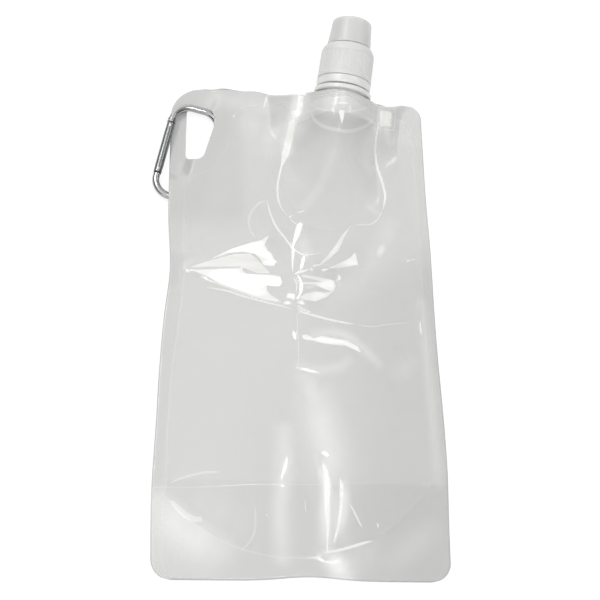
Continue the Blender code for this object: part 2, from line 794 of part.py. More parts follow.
def weld_outline(scale_off):
    """Section of the weld base, drawn in by a distance all round."""
    half_width = WELD_HALF_WIDTH - scale_off
    half_thickness = WELD_HALF_THICKNESS - scale_off
    shares = (-1.0, -0.8, -0.6, -0.4, -0.2, 0.0, 0.2, 0.4, 0.6, 0.8, 1.0)
    top = []
    for share in reversed(shares):
        across = share * half_width
        top.append((across, weld_half(across, half_width, half_thickness)))
    bottom = [(x, -y) for x, y in reversed(top[1:-1])]
    return top + bottom


def weld_levels():
    """Heights of the weld base's ribs and grooves, each with how far it is drawn in."""
    rib = WELD_LENGTH / (2 * WELD_RIBS - 1)
    levels = [(0.0, 0.0)]
    for index in range(WELD_RIBS - 1):
        start = rib * (2 * index + 1)
        levels += [
            (start, 0.0),
            (start + 0.3 * rib, WELD_GROOVE),
            (start + 0.7 * rib, WELD_GROOVE),
            (start + rib, 0.0),
        ]
    levels.append((WELD_LENGTH, 0.0))
    return levels


def weld_base(name, parent):
    """The ribbed boat-shaped base as a stack of its sections, one above the other."""
    shape = bmesh.new()
    below = None
    for height, drawn_in in weld_levels():
        ring = [shape.verts.new((x, y, height)) for x, y in weld_outline(drawn_in)]
        if below is None:
            shape.faces.new(list(reversed(ring)))
        else:
            for index in range(len(ring)):
                after = (index + 1) % len(ring)
                shape.faces.new((below[index], below[after], ring[after], ring[index]))
        below = ring
    shape.faces.new(below)
    bmesh.ops.recalc_face_normals(shape, faces=shape.faces)
    mesh = bpy.data.meshes.new(name)
    shape.to_mesh(mesh)
    shape.free()
    return add(name, mesh, None, parent, helper=True)


def thread_points(radius, start, turns):
    """Points of a right-hand helix round the spout axis."""
    count = int(20 * turns)
    points = []
    for index in range(count + 1):
        angle = 2 * math.pi * turns * index / count
        height = start + THREAD_PITCH * turns * index / count
        points.append((radius * math.cos(angle), radius * math.sin(angle), height))
    return points


NECK_THREAD_RADIUS = NECK_RADIUS + THREAD_WIRE / 2
CAP_BORE = CAP_RADIUS - CAP_WALL
CAP_THREAD_RADIUS = CAP_BORE - THREAD_WIRE / 2
RING_BORE = CAP_RADIUS - RING_WALL
LIP_RADIUS = RING_BORE - RING_LIP
BEAD_FOOT = RING_FOOT + 2.4 * MM
BEAD_RADIUS = NECK_RADIUS + BEAD_RISE
LINER_FOOT = NECK_TOP + GAP
CAP_CEILING = LINER_FOOT + LINER_THICKNESS + CAP_ROOF_UNDERSIDE_PLAY


def make_fitment(axis):
    """Weld base, neck with flange and bead, thread and the bore through all of them."""
    look = material("spout_plastic", (0.86, 0.86, 0.84), 0.3, alpha=0.85)
    flange_top = FLANGE_FOOT + FLANGE_HEIGHT
    neck = turned(
        "spout_fitment",
        [
            (0.0, NECK_TOP),
            (NECK_RADIUS - 0.5 * MM, NECK_TOP),
            (NECK_RADIUS, NECK_TOP - 0.5 * MM),
            (NECK_RADIUS, BEAD_FOOT + BEAD_HEIGHT),
            (BEAD_RADIUS, BEAD_FOOT + BEAD_HEIGHT / 2),
            (BEAD_RADIUS, BEAD_FOOT),
            (NECK_RADIUS, BEAD_FOOT),
            (NECK_RADIUS, flange_top),
            (FLANGE_RADIUS, flange_top - 0.4 * MM),
            (FLANGE_RADIUS, FLANGE_FOOT),
            (NECK_RADIUS + 0.8 * MM, FLANGE_FOOT),
            (NECK_RADIUS + 0.8 * MM, WELD_LENGTH - 1 * MM),
            (0.0, WELD_LENGTH - 1 * MM),
        ],
        look,
        axis,
    )
    base = weld_base("weld_base_block", axis)
    thread = wire(
        "neck_thread",
        thread_points(NECK_THREAD_RADIUS, THREAD_START, NECK_THREAD_TURNS),
        THREAD_WIRE,
        None,
        axis,
        helper=True,
        sides=1,
    )
    bore = rod(
        "neck_bore", (0, 0), -2 * MM, NECK_TOP + 2 * MM, BORE_RADIUS, None, axis, True, TURN_STEPS
    )
    boolean(neck, base, "UNION")
    boolean(neck, thread, "UNION")
    boolean(neck, bore)
    return look


def make_ring(axis, look):
    """The tamper ring, held on the neck by its lip under the bead."""
    lip = RING_FOOT + 0.6 * MM
    turned(
        "tamper_ring",
        [
            (RING_BORE, RING_FOOT + RING_HEIGHT),
            (CAP_RADIUS - 0.3 * MM, RING_FOOT + RING_HEIGHT),
            (CAP_RADIUS, RING_FOOT + RING_HEIGHT - 0.3 * MM),
            (CAP_RADIUS, RING_FOOT + 0.3 * MM),
            (CAP_RADIUS - 0.3 * MM, RING_FOOT),
            (RING_BORE, RING_FOOT),
            (LIP_RADIUS, lip),
            (LIP_RADIUS, lip + 0.9 * MM),
            (RING_BORE, lip + 1.5 * MM),
        ],
        look,
        axis,
        closed=True,
    )


def rib_cutter(axis):
    """A ring whose inner side is a star: it leaves the fine grip ribs of the cap."""
    foot = CAP_FOOT + CAP_RIM
    inner = []
    for index in range(2 * CAP_RIBS):
        angle = math.pi * index / CAP_RIBS
        radius = CAP_RADIUS + 0.15 * MM if index % 2 == 0 else CAP_RADIUS - RIB_DEPTH
        inner.append((radius * math.cos(angle), radius * math.sin(angle)))
    outer = arc_points((0, 0), CAP_RADIUS + 3 * MM, 0, 350, 35)
    return plate("grip_rib_cutter", [outer, inner], foot, CAP_SKIRT_TOP, None, axis, helper=True)


CAP_FOOT = RING_FOOT + RING_HEIGHT + GAP
BOSS_TOP = CAP_TOP + BOSS_HEIGHT


def make_cap(axis):
    """The screw cap: ribbed skirt, roof, boss for the cover and the chimney with its plug."""
    look = material("cap_plastic", (0.88, 0.88, 0.87), 0.35)
    top_radius = CAP_RADIUS - CAP_TAPER
    shoulder_rise = CAP_TOP - CAP_SKIRT_TOP
    shoulder_run = top_radius - COVER_BASE_RADIUS
    shoulder = []
    for index in range(4):
        turn = math.radians(90 - 30 * index)
        radius = COVER_BASE_RADIUS - GAP + (shoulder_run + GAP) * math.cos(turn)
        shoulder.append((radius, CAP_SKIRT_TOP + shoulder_rise * math.sin(turn)))
    cap = turned(
        "screw_cap",
        [
            (0.0, NOZZLE_TOP),
            (PLUG_RADIUS, NOZZLE_TOP),
            (PLUG_RADIUS, CHIMNEY_TOP),
            (CHIMNEY_RADIUS, CHIMNEY_TOP),
            (CHIMNEY_RADIUS, WELL_FLOOR),
            (BOSS_RADIUS - BOSS_WALL, WELL_FLOOR),
            (BOSS_RADIUS - BOSS_WALL, BOSS_TOP),
            (BOSS_RADIUS, BOSS_TOP),
            (BOSS_RADIUS, CAP_TOP),
            *shoulder,
            (CAP_RADIUS, CAP_FOOT + 0.3 * MM),
            (CAP_RADIUS - 0.3 * MM, CAP_FOOT),
            (CAP_BORE, CAP_FOOT),
            (CAP_BORE, CAP_CEILING),
            (CHIMNEY_BORE, CAP_CEILING),
            (CHIMNEY_BORE, CHIMNEY_TOP - CHIMNEY_LID),
            (0.0, CHIMNEY_TOP - CHIMNEY_LID),
        ],
        look,
        axis,
        steps=CAP_RIBS,
    )
    thread = wire(
        "cap_thread",
        thread_points(CAP_THREAD_RADIUS, THREAD_START + THREAD_PITCH / 2, CAP_THREAD_TURNS),
        THREAD_WIRE,
        None,
        axis,
        helper=True,
        sides=1,
    )
    boolean(cap, thread, "UNION")
    boolean(cap, rib_cutter(axis))
    port_circle = (PLUG_RADIUS + CHIMNEY_BORE) / 2
    for index in range(PORTS):
        angle = 2 * math.pi * (index + 0.5) / PORTS
        place = (port_circle * math.cos(angle), port_circle * math.sin(angle))
        low = CHIMNEY_TOP - CHIMNEY_LID - 1 * MM
        port = rod(
            f"cap_port_{index + 1}", place, low, CHIMNEY_TOP + 1 * MM, PORT_RADIUS, None, axis, True, 8
        )
        boolean(cap, port)


def make_liner(axis):
    """The sealing washer between the rim of the neck and the cap."""
    look = material("liner_foam", (0.93, 0.93, 0.91), 0.6)
    outer = CAP_BORE - LINER_PLAY - 0.6 * MM
    top = LINER_FOOT + LINER_THICKNESS
    profile = [(BORE_RADIUS, top), (outer, top), (outer, LINER_FOOT), (BORE_RADIUS, LINER_FOOT)]
    turned("cap_liner", profile, look, axis, closed=True)


def make_nozzle(axis):
    """The pull nozzle: a sleeve on the chimney whose mouth closes round the plug."""
    look = material("nozzle_plastic", (0.90, 0.90, 0.90), 0.3)
    bore = CHIMNEY_RADIUS + GAP
    outer = bore + NOZZLE_WALL
    shelf = NOZZLE_TOP - NOZZLE_LID
    mouth = PLUG_RADIUS + GAP
    turned(
        "pull_nozzle",
        [
            (mouth, NOZZLE_TOP),
            (NOZZLE_LIP_RADIUS - 0.4 * MM, NOZZLE_TOP),
            (NOZZLE_LIP_RADIUS, NOZZLE_TOP - 0.4 * MM),
            (outer + NOZZLE_GRIP, shelf),
            (outer + NOZZLE_GRIP, shelf - 0.9 * MM),
            (outer, shelf - 1.4 * MM),
            (outer, NOZZLE_FOOT),
            (bore, NOZZLE_FOOT),
            (bore, shelf),
            (mouth, shelf),
        ],
        look,
        axis,
        closed=True,
    )


def make_cover(axis):
    """The clear dust cover, pushed over the boss of the cap."""
    look = material("clear_plastic", (0.88, 0.88, 0.87), 0.1, alpha=0.5)
    foot = CAP_TOP + GAP
    round_radius = COVER_TOP_RADIUS - COVER_ROUND
    edge = []
    for index in range(4):
        turn = math.radians(90 - 30 * index)
        radius = round_radius + COVER_ROUND * math.cos(turn)
        edge.append((radius, COVER_TOP - COVER_ROUND + COVER_ROUND * math.sin(turn)))
    inner = BOSS_RADIUS + GAP
    turned(
        "dust_cover",
        [
            (0.0, COVER_TOP),
            *edge,
            (COVER_BASE_RADIUS, foot),
            (inner, foot),
            (inner, BOSS_TOP),
            (COVER_TOP_RADIUS - COVER_WALL, COVER_TOP - COVER_ROUND),
            (round_radius, COVER_TOP - COVER_WALL),
            (0.0, COVER_TOP - COVER_WALL),
        ],
        look,
        axis,
    )


def make_frame(plane, look):
    """The bent wire of the carabiner with its hinge tongue and its hooked nose."""
    path = [(u, v, 0.0) for u, v in wire_path()]
    frame = wire("carabiner_frame", path, WIRE_RADIUS, look, plane, sides=3)
    half = TONGUE_THICKNESS / 2
    radius = HINGE_TONGUE_RADIUS
    foot = GATE_FOOT - FOOT_PLAY - TONGUE_ROOT
    hinge = arc_points((HINGE_X, HINGE_Y), radius, 0, 180, 8)
    hinge += [(HINGE_X - radius, foot), (HINGE_X + radius, foot)]
    hinge_tongue = plate("hinge_tongue", [hinge], -half, half, None, plane, helper=True)
    notch_low = LATCH_Y - PIN_RADIUS - NOTCH_PLAY
    notch_high = LATCH_Y + PIN_RADIUS + NOTCH_PLAY
    left = HINGE_X - NOSE_HALF_WIDTH
    right = HINGE_X + NOSE_HALF_WIDTH
    seat = HINGE_X - PIN_RADIUS - NOTCH_PLAY
    nose = [
        (right, NOSE_Y + TONGUE_ROOT),
        (left, NOSE_Y + TONGUE_ROOT),
        (left, NOSE_Y - NOSE_HOOK),
        (right, NOSE_Y - NOSE_HOOK),
        (right, notch_low),
        (seat, notch_low),
        (seat, notch_high),
        (right, notch_high),
    ]
    nose_tongue = plate("nose_tongue", [nose], -half, half, None, plane, helper=True)
    collar = rod(
        "nose_collar", (0, 0), 0, NOSE_COLLAR_LENGTH, NOSE_COLLAR_RADIUS, None, plane, True, 16
    )
    collar.location = (HINGE_X, NOSE_Y, 0)
    collar.rotation_euler = (-math.pi / 2, 0, 0)
    pin_hole = rod(
        "hinge_hole", (HINGE_X, HINGE_Y), -half * 3, half * 3, PIN_RADIUS + 0.1 * MM, None, plane, True
    )
    boolean(frame, collar, "UNION")
    boolean(frame, hinge_tongue, "UNION")
    boolean(frame, nose_tongue, "UNION")
    boolean(frame, pin_hole)


def gate_tube(hinge, look):
    """The gate: a tube slotted at both ends, bored for its spring and its two pins."""
    length = GATE_TIP - GATE_FOOT
    low = GATE_FOOT - HINGE_Y
    gate = turned(
        "carabiner_gate",
        [
            (0.0, low + length),
            (GATE_RADIUS - 0.3 * MM, low + length),
            (GATE_RADIUS, low + length - 0.3 * MM),
            (GATE_RADIUS, low + 0.3 * MM),
            (GATE_RADIUS - 0.3 * MM, low),
            (0.0, low),
        ],
        look,
        hinge,
        steps=16,
    )
    gate.rotation_euler = (-math.pi / 2, 0, 0)
    wide = GATE_RADIUS + 1 * MM
    half = GATE_SLOT / 2
    hinge_slot = box(
        "hinge_slot",
        (-wide, low - 1 * MM, -half),
        (wide, low + GATE_SLOT_DEPTH + 0.3 * MM, half),
        None,
        hinge,
        helper=True,
    )
    nose_slot = box(
        "nose_slot",
        (-wide, NOSE_Y - HINGE_Y - NOSE_HOOK - GAP, -half),
        (wide, low + length + 1 * MM, half),
        None,
        hinge,
        helper=True,
    )
    spring_bore = rod(
        "spring_bore", (0, 0), 0.0, SPRING_SEAT + SPRING_LENGTH + FOLLOWER_LENGTH, SPRING_BORE, None,
        hinge, True,
    )
    spring_bore.rotation_euler = (-math.pi / 2, 0, 0)
    boolean(gate, hinge_slot)
    boolean(gate, nose_slot)
    boolean(gate, spring_bore)
    for name, height in (("rivet_hole", 0.0), ("latch_hole", LATCH_Y - HINGE_Y)):
        reach = GATE_RADIUS + 1 * MM
        drill = rod(name, (0, height), -reach, reach, PIN_RADIUS + 0.3 * MM, None, hinge, True)
        boolean(gate, drill)


SPRING_SEAT = HINGE_TONGUE_RADIUS + GAP


def pin(name, place, look, parent):
    """A cross pin with a small head at each end, flush with the gate tube."""
    reach = GATE_RADIUS
    made = turned(
        name,
        [
            (0.0, reach + PIN_HEAD),
            (PIN_RADIUS, reach + PIN_HEAD),
            (PIN_RADIUS, -reach - PIN_HEAD),
            (0.0, -reach - PIN_HEAD),
        ],
        look,
        parent,
        steps=12,
    )
    made.location = (*place, 0.0)
    return made


def make_gate(plane, look):
    """The gate and what it carries, on the axis of the hinge rivet."""
    steel = material("pin_steel", (0.62, 0.62, 0.63), 0.25, metallic=1.0)
    hinge = empty("gate_hinge", Matrix.Translation((HINGE_X, HINGE_Y, 0)), plane)
    gate_tube(hinge, look)
    pin("hinge_rivet", (HINGE_X, HINGE_Y), steel, plane)
    pin("latch_pin", (0.0, LATCH_Y - HINGE_Y), steel, hinge)
    follower = rod(
        "spring_follower", (0, 0), SPRING_SEAT, SPRING_SEAT + FOLLOWER_LENGTH, SPRING_BORE - 0.15 * MM,
        steel, hinge,
    )
    follower.rotation_euler = (-math.pi / 2, 0, 0)
    points = []
    radius = SPRING_BORE - GAP - SPRING_WIRE
    foot = SPRING_SEAT + FOLLOWER_LENGTH + GAP
    count = 8 * SPRING_TURNS
    height = SPRING_LENGTH - 2 * GAP
    for index in range(count + 1):
        angle = 2 * math.pi * SPRING_TURNS * index / count
        along = foot + SPRING_WIRE + (height - 2 * SPRING_WIRE) * index / count
        points.append((radius * math.cos(angle), along, radius * math.sin(angle)))
    wire("gate_spring", points, SPRING_WIRE, steel, hinge, sides=1)


def build():
    """The whole flask."""
    middle = (BOX_RIGHT - BOX_LEFT) / 2
    origin = empty("flask_origin", Matrix.Translation((-middle, -BOX_TOP / 2, 0)))
    make_pouch(origin)
    axis = empty("spout_axis", spout_matrix(), origin)
    look = make_fitment(axis)
    make_ring(axis, look)
    make_cap(axis)
    make_liner(axis)
    make_nozzle(axis)
    make_cover(axis)
    aluminium = material("aluminium", (0.77, 0.78, 0.79), 0.18, metallic=1.0)
    plane = empty("carabiner_plane", Matrix.Translation((RING_X, RING_Y, RING_Z)) @ RING_TURN, origin)
    make_frame(plane, aluminium)
    make_gate(plane, aluminium)


clear_scene()
PARTS = new_collection("soft_flask", True)
CUTTERS = new_collection("cutters", False)
build()
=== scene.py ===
# %% [markdown]
# # A foldable water flask
# The flask is a pouch of hazy clear film that lies empty on a table. A moulded spout is welded
# between its two panels, and a small snap hook hangs in the hole of its tab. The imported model
# gives every piece its place. This file gives each one its surface, so nothing here is moved:
# sizes come from a few driving dimensions and from the frame that is loaded first.

# %% Load the frame
import json
import math

import bmesh
import bpy
import numpy as np
from mathutils import Matrix, Vector


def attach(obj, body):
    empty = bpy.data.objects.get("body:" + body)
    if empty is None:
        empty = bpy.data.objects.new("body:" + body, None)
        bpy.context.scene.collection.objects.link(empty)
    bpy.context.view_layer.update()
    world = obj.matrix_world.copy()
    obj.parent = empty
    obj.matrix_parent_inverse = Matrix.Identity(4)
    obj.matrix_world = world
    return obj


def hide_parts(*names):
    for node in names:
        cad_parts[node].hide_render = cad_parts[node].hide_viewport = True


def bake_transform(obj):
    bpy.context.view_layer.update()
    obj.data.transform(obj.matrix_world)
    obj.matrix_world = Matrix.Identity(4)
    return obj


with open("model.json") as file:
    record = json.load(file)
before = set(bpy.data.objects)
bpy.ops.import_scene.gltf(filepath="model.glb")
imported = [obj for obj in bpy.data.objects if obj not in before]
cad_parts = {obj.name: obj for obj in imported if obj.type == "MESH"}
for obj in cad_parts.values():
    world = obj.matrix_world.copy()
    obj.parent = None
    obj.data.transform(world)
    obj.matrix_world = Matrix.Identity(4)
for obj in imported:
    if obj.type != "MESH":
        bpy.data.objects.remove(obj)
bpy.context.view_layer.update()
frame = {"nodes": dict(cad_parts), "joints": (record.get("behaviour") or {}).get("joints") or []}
MM = 0.001


def in_scene(name, data):
    """A new object in the scene, made from its data."""
    made = bpy.data.objects.new(name, data)
    bpy.context.scene.collection.objects.link(made)
    return made


# %% [markdown]
# ## Camera
# The camera looks down at the flask from its foot, a little from the left. A long lens keeps the
# two long sides almost parallel, as they are in the picture.

# %% Camera
CAMERA_PLACE = (-0.05943, -0.21429, 0.48032)
CAMERA_TURN = (23.400, -7.059, -0.702)
LENS = 72.0
SENSOR = 36.0

camera_data = bpy.data.cameras.new("camera")
camera_data.lens = LENS
camera_data.sensor_width = SENSOR
camera_data.clip_start = 10 * MM
camera = in_scene("camera", camera_data)
camera.location = CAMERA_PLACE
camera.rotation_euler = [math.radians(angle) for angle in CAMERA_TURN]
bpy.context.scene.camera = camera
print("camera at", [round(value, 3) for value in camera.location])

# %% [markdown]
# ## Where the lamps hang
# A crumpled film shows little but the lamps that it mirrors. So the lamps get their places first:
# one in front for the sheets of the crease, one at the left and a dim one at the right for
# streaks along the flask. The crumples are aimed at them later. Each lamp is a rectangle, long in
# the direction of the creases that it lights.

# %% Lamps
LAMP_DISTANCE = 1.10
LAMPS = {
    "front": {"towards": (0.05, -0.21, 0.976), "size": (0.40, 0.16), "radiance": 15.0},
    "left": {"towards": (-0.42, 0.40, 0.815), "size": (0.14, 0.40), "radiance": 14.0},
    "right": {"towards": (0.60, 0.38, 0.70), "size": (0.16, 0.40), "radiance": 4.0},
}
for lamp in LAMPS.values():
    lamp["place"] = Vector(lamp["towards"]).normalized() * LAMP_DISTANCE
print("lamps:", {name: [round(v, 2) for v in lamp["place"]] for name, lamp in LAMPS.items()})

# %% [markdown]
# ## Helpers for shader nodes
# A finish is a small network of nodes. These helpers add a node with its values and link it, so
# that each material below reads as a short list of what it is made of.

# %% Node helpers
FLOAT = "NodeSocketFloat"
VECTOR = "NodeSocketVector"


def fill(tree, made, inputs):
    """Fills a node's inputs with values or links."""
    for key, value in inputs.items():
        if isinstance(value, bpy.types.NodeSocket):
            tree.links.new(value, made.inputs[key])
        else:
            made.inputs[key].default_value = value


def node(tree, kind, inputs=(), **settings):
    """Adds a node, sets its properties and fills its inputs."""
    made = tree.nodes.new(kind)
    for name, value in settings.items():
        setattr(made, name, value)
    fill(tree, made, dict(inputs))
    return made


def maths(tree, *operations):
    """A short call for each Math operation, such as plus(a, b)."""

    def call(operation):
        def result(first, second=0.0, clamp=False):
            return node(
                tree, "ShaderNodeMath", {0: first, 1: second}, operation=operation, use_clamp=clamp
            ).outputs[0]

        return result

    return [call(operation) for operation in operations]


def spread(tree, value, low, high, to_low=0.0, to_high=1.0, kind="SMOOTHSTEP"):
    """A Map Range node's result, clamped."""
    values = {0: value, 1: low, 2: high, 3: to_low, 4: to_high}
    return node(tree, "ShaderNodeMapRange", values, interpolation_type=kind).outputs[0]


def noise(tree, place, scale, detail, roughness=0.5):
    """A Noise Texture's grey value."""
    values = {"Vector": place, "Scale": scale, "Detail": detail, "Roughness": roughness}
    return node(tree, "ShaderNodeTexNoise", values).outputs["Fac"]


def mixed(tree, share, first, second):
    """A colour between two, which are links or three numbers each."""
    first, second = [
        end if isinstance(end, bpy.types.NodeSocket) else (*end, 1.0) for end in (first, second)
    ]
    values = {"Factor": share, 6: first, 7: second}
    return node(tree, "ShaderNodeMix", values, data_type="RGBA").outputs[2]


def bumped(tree, height, strength, distance):
    """A Bump node's normal."""
    values = {"Height": height, "Strength": strength, "Distance": distance}
    return node(tree, "ShaderNodeBump", values).outputs[0]


def group_tree(name, inputs, outputs, kind="ShaderNodeTree"):
    """A node group: its tree, its inputs to link from, and its end node."""
    tree = bpy.data.node_groups.new(name, kind)
    for label, socket_type, *value in inputs:
        socket = tree.interface.new_socket(label, in_out="INPUT", socket_type=socket_type)
        if value:
            socket.default_value = value[0]
    for label, socket_type in outputs:
        tree.interface.new_socket(label, in_out="OUTPUT", socket_type=socket_type)
    return tree, tree.nodes.new("NodeGroupInput").outputs, tree.nodes.new("NodeGroupOutput")


def new_material(name):
    """A material with its tree and its Principled shader."""
    made = bpy.data.materials.new(name)
    made.use_nodes = True
    return made, made.node_tree, made.node_tree.nodes["Principled BSDF"]


print("helpers ready")

# %% [markdown]
# ## Handling marks
# Plastic, film and metal that people handle share the same faint life: a cloudy change of tone, a
# fine grain, and hair scratches. One node group makes all three, and each material takes what it
# needs with its own scale. It reads Object coordinates, so the pattern sits still on the piece.


# %% Handling marks group
def handling_group():
    """Cloud, grain and hair scratches."""
    tree, start, end = group_tree(
        "handling_marks",
        [("Vector", VECTOR), ("Cloud size", FLOAT, 60.0), ("Grain size", FLOAT, 2500.0),
         ("Scratch stretch", FLOAT, 12.0)],
        [("Cloud", FLOAT), ("Grain", FLOAT), ("Scratch", FLOAT)],
    )
    place, stretch = start["Vector"], start["Scratch stretch"]
    squeeze = node(tree, "ShaderNodeCombineXYZ", {"X": 1.0, "Y": stretch, "Z": stretch})
    stretched = node(
        tree, "ShaderNodeVectorMath", {0: place, 1: squeeze.outputs[0]}, operation="MULTIPLY"
    )
    scratch = noise(tree, stretched.outputs[0], 260.0, 4.0, 0.65)
    fill(tree, end, {
        "Cloud": noise(tree, place, start["Cloud size"], 3.0),
        "Grain": noise(tree, place, start["Grain size"], 2.0),
        "Scratch": spread(tree, scratch, 0.60, 0.72),
    })
    return tree


HANDLING = handling_group()


def handling(tree, cloud, grain, stretch):
    """The handling marks, placed in a material's tree."""
    place = node(tree, "ShaderNodeTexCoord").outputs["Object"]
    values = {"Vector": place, "Cloud size": cloud, "Grain size": grain, "Scratch stretch": stretch}
    return node(tree, "ShaderNodeGroup", values, node_tree=HANDLING).outputs


print("group:", HANDLING.name)

# %% [markdown]
# ## Moulded plastics
# The cap, the spout, its ring and the nozzle are injection moulded. Milky plastic has a soft sheen,
# a slight cloudy change of tone, and a fine grain from the mould. One function makes them all,
# because only colour, gloss and clearness differ.


# %% Moulded plastics
def moulded(name, colour, roughness, alpha=1.0, tone=0.03, bump=0.12, coat=0.15, milk=0.5):
    """A moulded plastic: cloudy tone, fine grain, hair scratches in the gloss."""
    made, tree, shader = new_material(name)
    times, plus = maths(tree, "MULTIPLY", "ADD")
    marks = handling(tree, 90.0, 1800.0, 6.0)
    dark, light = [[min(c * change, 1.0) for c in colour] for change in (1 - tone, 1 + tone)]
    fill(tree, shader, {
        "Base Color": mixed(tree, marks["Cloud"], dark, light),
        "Roughness": plus(times(marks["Scratch"], 0.12), roughness),
        "Normal": bumped(tree, marks["Grain"], bump, 0.06 * MM),
        "Alpha": alpha,
        "Coat Weight": coat,
        "Coat Roughness": 0.12,
        "Subsurface Weight": milk,
        "Subsurface Radius": (1.0, 1.0, 0.85),
        "Subsurface Scale": 5 * MM,
    })
    return made


CAP_PLASTIC = moulded("cap_white", (0.715, 0.72, 0.70), 0.42, coat=0.1, milk=0.0)
SPOUT_PLASTIC = moulded("spout_milky", (0.80, 0.81, 0.78), 0.34, milk=0.2)
NOZZLE_PLASTIC = moulded("nozzle_white", (0.82, 0.82, 0.81), 0.32)
LINER_FOAM = moulded("liner_foam", (0.88, 0.88, 0.85), 0.65, tone=0.05, bump=0.4, coat=0.0)
COVER_PLASTIC = moulded("cover_frosted", (0.85, 0.855, 0.825), 0.36, alpha=0.76, tone=0.02)
print("plastics:", CAP_PLASTIC.name, SPOUT_PLASTIC.name, NOZZLE_PLASTIC.name, COVER_PLASTIC.name)

# %% [markdown]
# ## Drawn aluminium and steel
# The snap hook is bent from bright drawn wire. Drawing leaves hair lines along the wire and
# handling leaves small dents in the gloss, so roughness changes and a light bump follows them.
# Its colour is plain: the dark cards beside it, mirrored in its flanks, give it its dark lines.


# %% Metals
def bright_metal(name, colour, roughness, lines):
    """A bright metal with hair lines and a cloudy gloss."""
    made, tree, shader = new_material(name)
    times, plus = maths(tree, "MULTIPLY", "ADD")
    marks = handling(tree, 220.0, 3200.0, lines)
    fill(tree, shader, {
        "Base Color": mixed(tree, marks["Scratch"], colour, [c * 0.82 for c in colour]),
        "Roughness": plus(times(marks["Cloud"], 0.10), roughness),
        "Normal": bumped(tree, marks["Scratch"], 0.10, 0.05 * MM),
        "Metallic": 1.0,
    })
    return made


ALUMINIUM = bright_metal("bright_aluminium", (0.38, 0.38, 0.385), 0.13, 9.0)
GATE_ALUMINIUM = bright_metal("gate_aluminium", (0.235, 0.24, 0.238), 0.20, 9.0)
STEEL = bright_metal("pin_steel_bright", (0.56, 0.56, 0.58), 0.18, 5.0)
print("metals:", ALUMINIUM.name, STEEL.name)

# %% [markdown]
# ## How the film lies
# The two panels are welded along their edges. Lying on the table, the back panel rises only where
# the wire of the hook and the spout lift it. The front panel follows it and swells over the water
# chamber. The same few formulas give every height, so that the panels never cross each other.
# From here on all lengths are in millimetres, until a mesh is made from them.

# %% Pouch sizes
SHIFT = Vector((2.07 * MM, -128.13 * MM, 0.0))
WIDTH = 120.0
LENGTH = 228.0
FILM = 0.25
STEP = FILM + 0.3
FOLD_Y = 128.0
GUSSET = 40.0
GUSSET_OPENING = 0.5
SPOUT_X = 18.1
SPOUT_Y = 208.8
LEAN = math.radians(7.3)
TILT = math.radians(14.0)
WELD_WIDTH = 16.7
WELD_THICKNESS = 11.0
WELD_LENGTH = 10.0
WELD_RIBS = 4
FILM_HALF = WELD_WIDTH + 1.0
FILM_RISE = (WELD_THICKNESS + 0.7) / math.cos(TILT)
SPOUT_Z = FILM_RISE + FILM / 2
RING_X = -51.3
RING_Y = 192.3
RING_Z = 2.672
RING_WIDE = 10.0
RING_LONG = 23.3
RING_BEND = 8.0
RING_LEAN = math.radians(11.8)
WIRE = 1.6
RING_TURN = (
    Matrix.Rotation(-RING_LEAN, 4, "Z")
    @ Matrix.Rotation(math.radians(3.6), 4, "Y")
    @ Matrix.Rotation(math.radians(1.36), 4, "X")
)
RING_NORMAL = RING_TURN.to_3x3() @ Vector((0, 0, 1))
print("pouch", WIDTH, "x", LENGTH, "mm")


# %% Soft steps and edges
def smooth(value, low, high):
    """0 up to low, 1 from high on, and an S curve between them."""
    share = np.clip((value - low) / (high - low), 0.0, 1.0)
    return share * share * (3.0 - 2.0 * share)


def fall(value, low, high):
    """1 up to low and 0 from high on."""
    return 1 - smooth(value, low, high)


def bell(distance, reach):
    """1 at distance 0, dying away past reach."""
    return np.exp(-((distance / reach) ** 2))


def corner(distance, radius):
    """How far a round corner draws a side in, near an end edge."""
    left = np.clip(radius - np.maximum(distance, 0.0), 0.0, radius)
    return radius - np.sqrt(radius**2 - left**2)


def left_side(y):
    """Left edge of the pouch, which is tucked in at the fold."""
    tuck = 1.7 * bell(y - FOLD_Y - 8, 17)
    inset = 1.5 * smooth(y, 75, 130) - 1.2 * bell(y - 33, 30)
    return -WIDTH / 2 + inset + tuck + corner(y, 8) + corner(LENGTH - y, 15)


def right_side(y):
    """Right edge of the pouch."""
    inset = 0.8 * smooth(y, 140, 185) - 1.44 * bell(y - 58, 34)
    return WIDTH / 2 + 0.4 - inset - corner(y, 8) - corner(LENGTH - y, 8)


def from_sides(x, row, left_low, left_high, right_low, right_high):
    """0 near both side edges and 1 in the middle."""
    left = smooth(x - left_side(row), left_low, left_high)
    return left * smooth(right_side(row) - x, right_low, right_high)


print("foot", round(float(right_side(20.0) - left_side(20.0)), 1), "mm wide")


# %% Lie of the panels
def leaning(dx, dy, angle):
    """Distances across and along something that leans by an angle."""
    return dx * math.cos(angle) - dy * math.sin(angle), dx * math.sin(angle) + dy * math.cos(angle)


def spout_place(x, y):
    """Distances across and along the spout, seen from above."""
    return leaning(x - SPOUT_X, y - SPOUT_Y, LEAN)


def past_base(across):
    """How far a place lies beside the weld base."""
    return np.maximum(np.abs(across) - FILM_HALF, 0.0)


def lens(across, half_width, half_height):
    """Half height of the boat-shaped section."""
    bulge = half_height * np.cos(np.pi * across / (2 * half_width))
    return np.where(np.abs(across) < half_width, bulge, 0.0)


def spout_lift(x, y, run):
    """Underside of the back panel where the spout lifts it, sinking below the spout in a run."""
    across, along = spout_place(x, y)
    middle = SPOUT_Z + np.maximum(along, 0.0) * math.tan(TILT) - FILM / 2
    half = np.hypot(lens(across, FILM_HALF, FILM_RISE), STEP / 2)
    lift = (middle - half) * fall(past_base(across), 0, np.where(across < 0, 19, 13.5))
    return np.maximum(lift, 0.0) * fall(-along, 0, run)


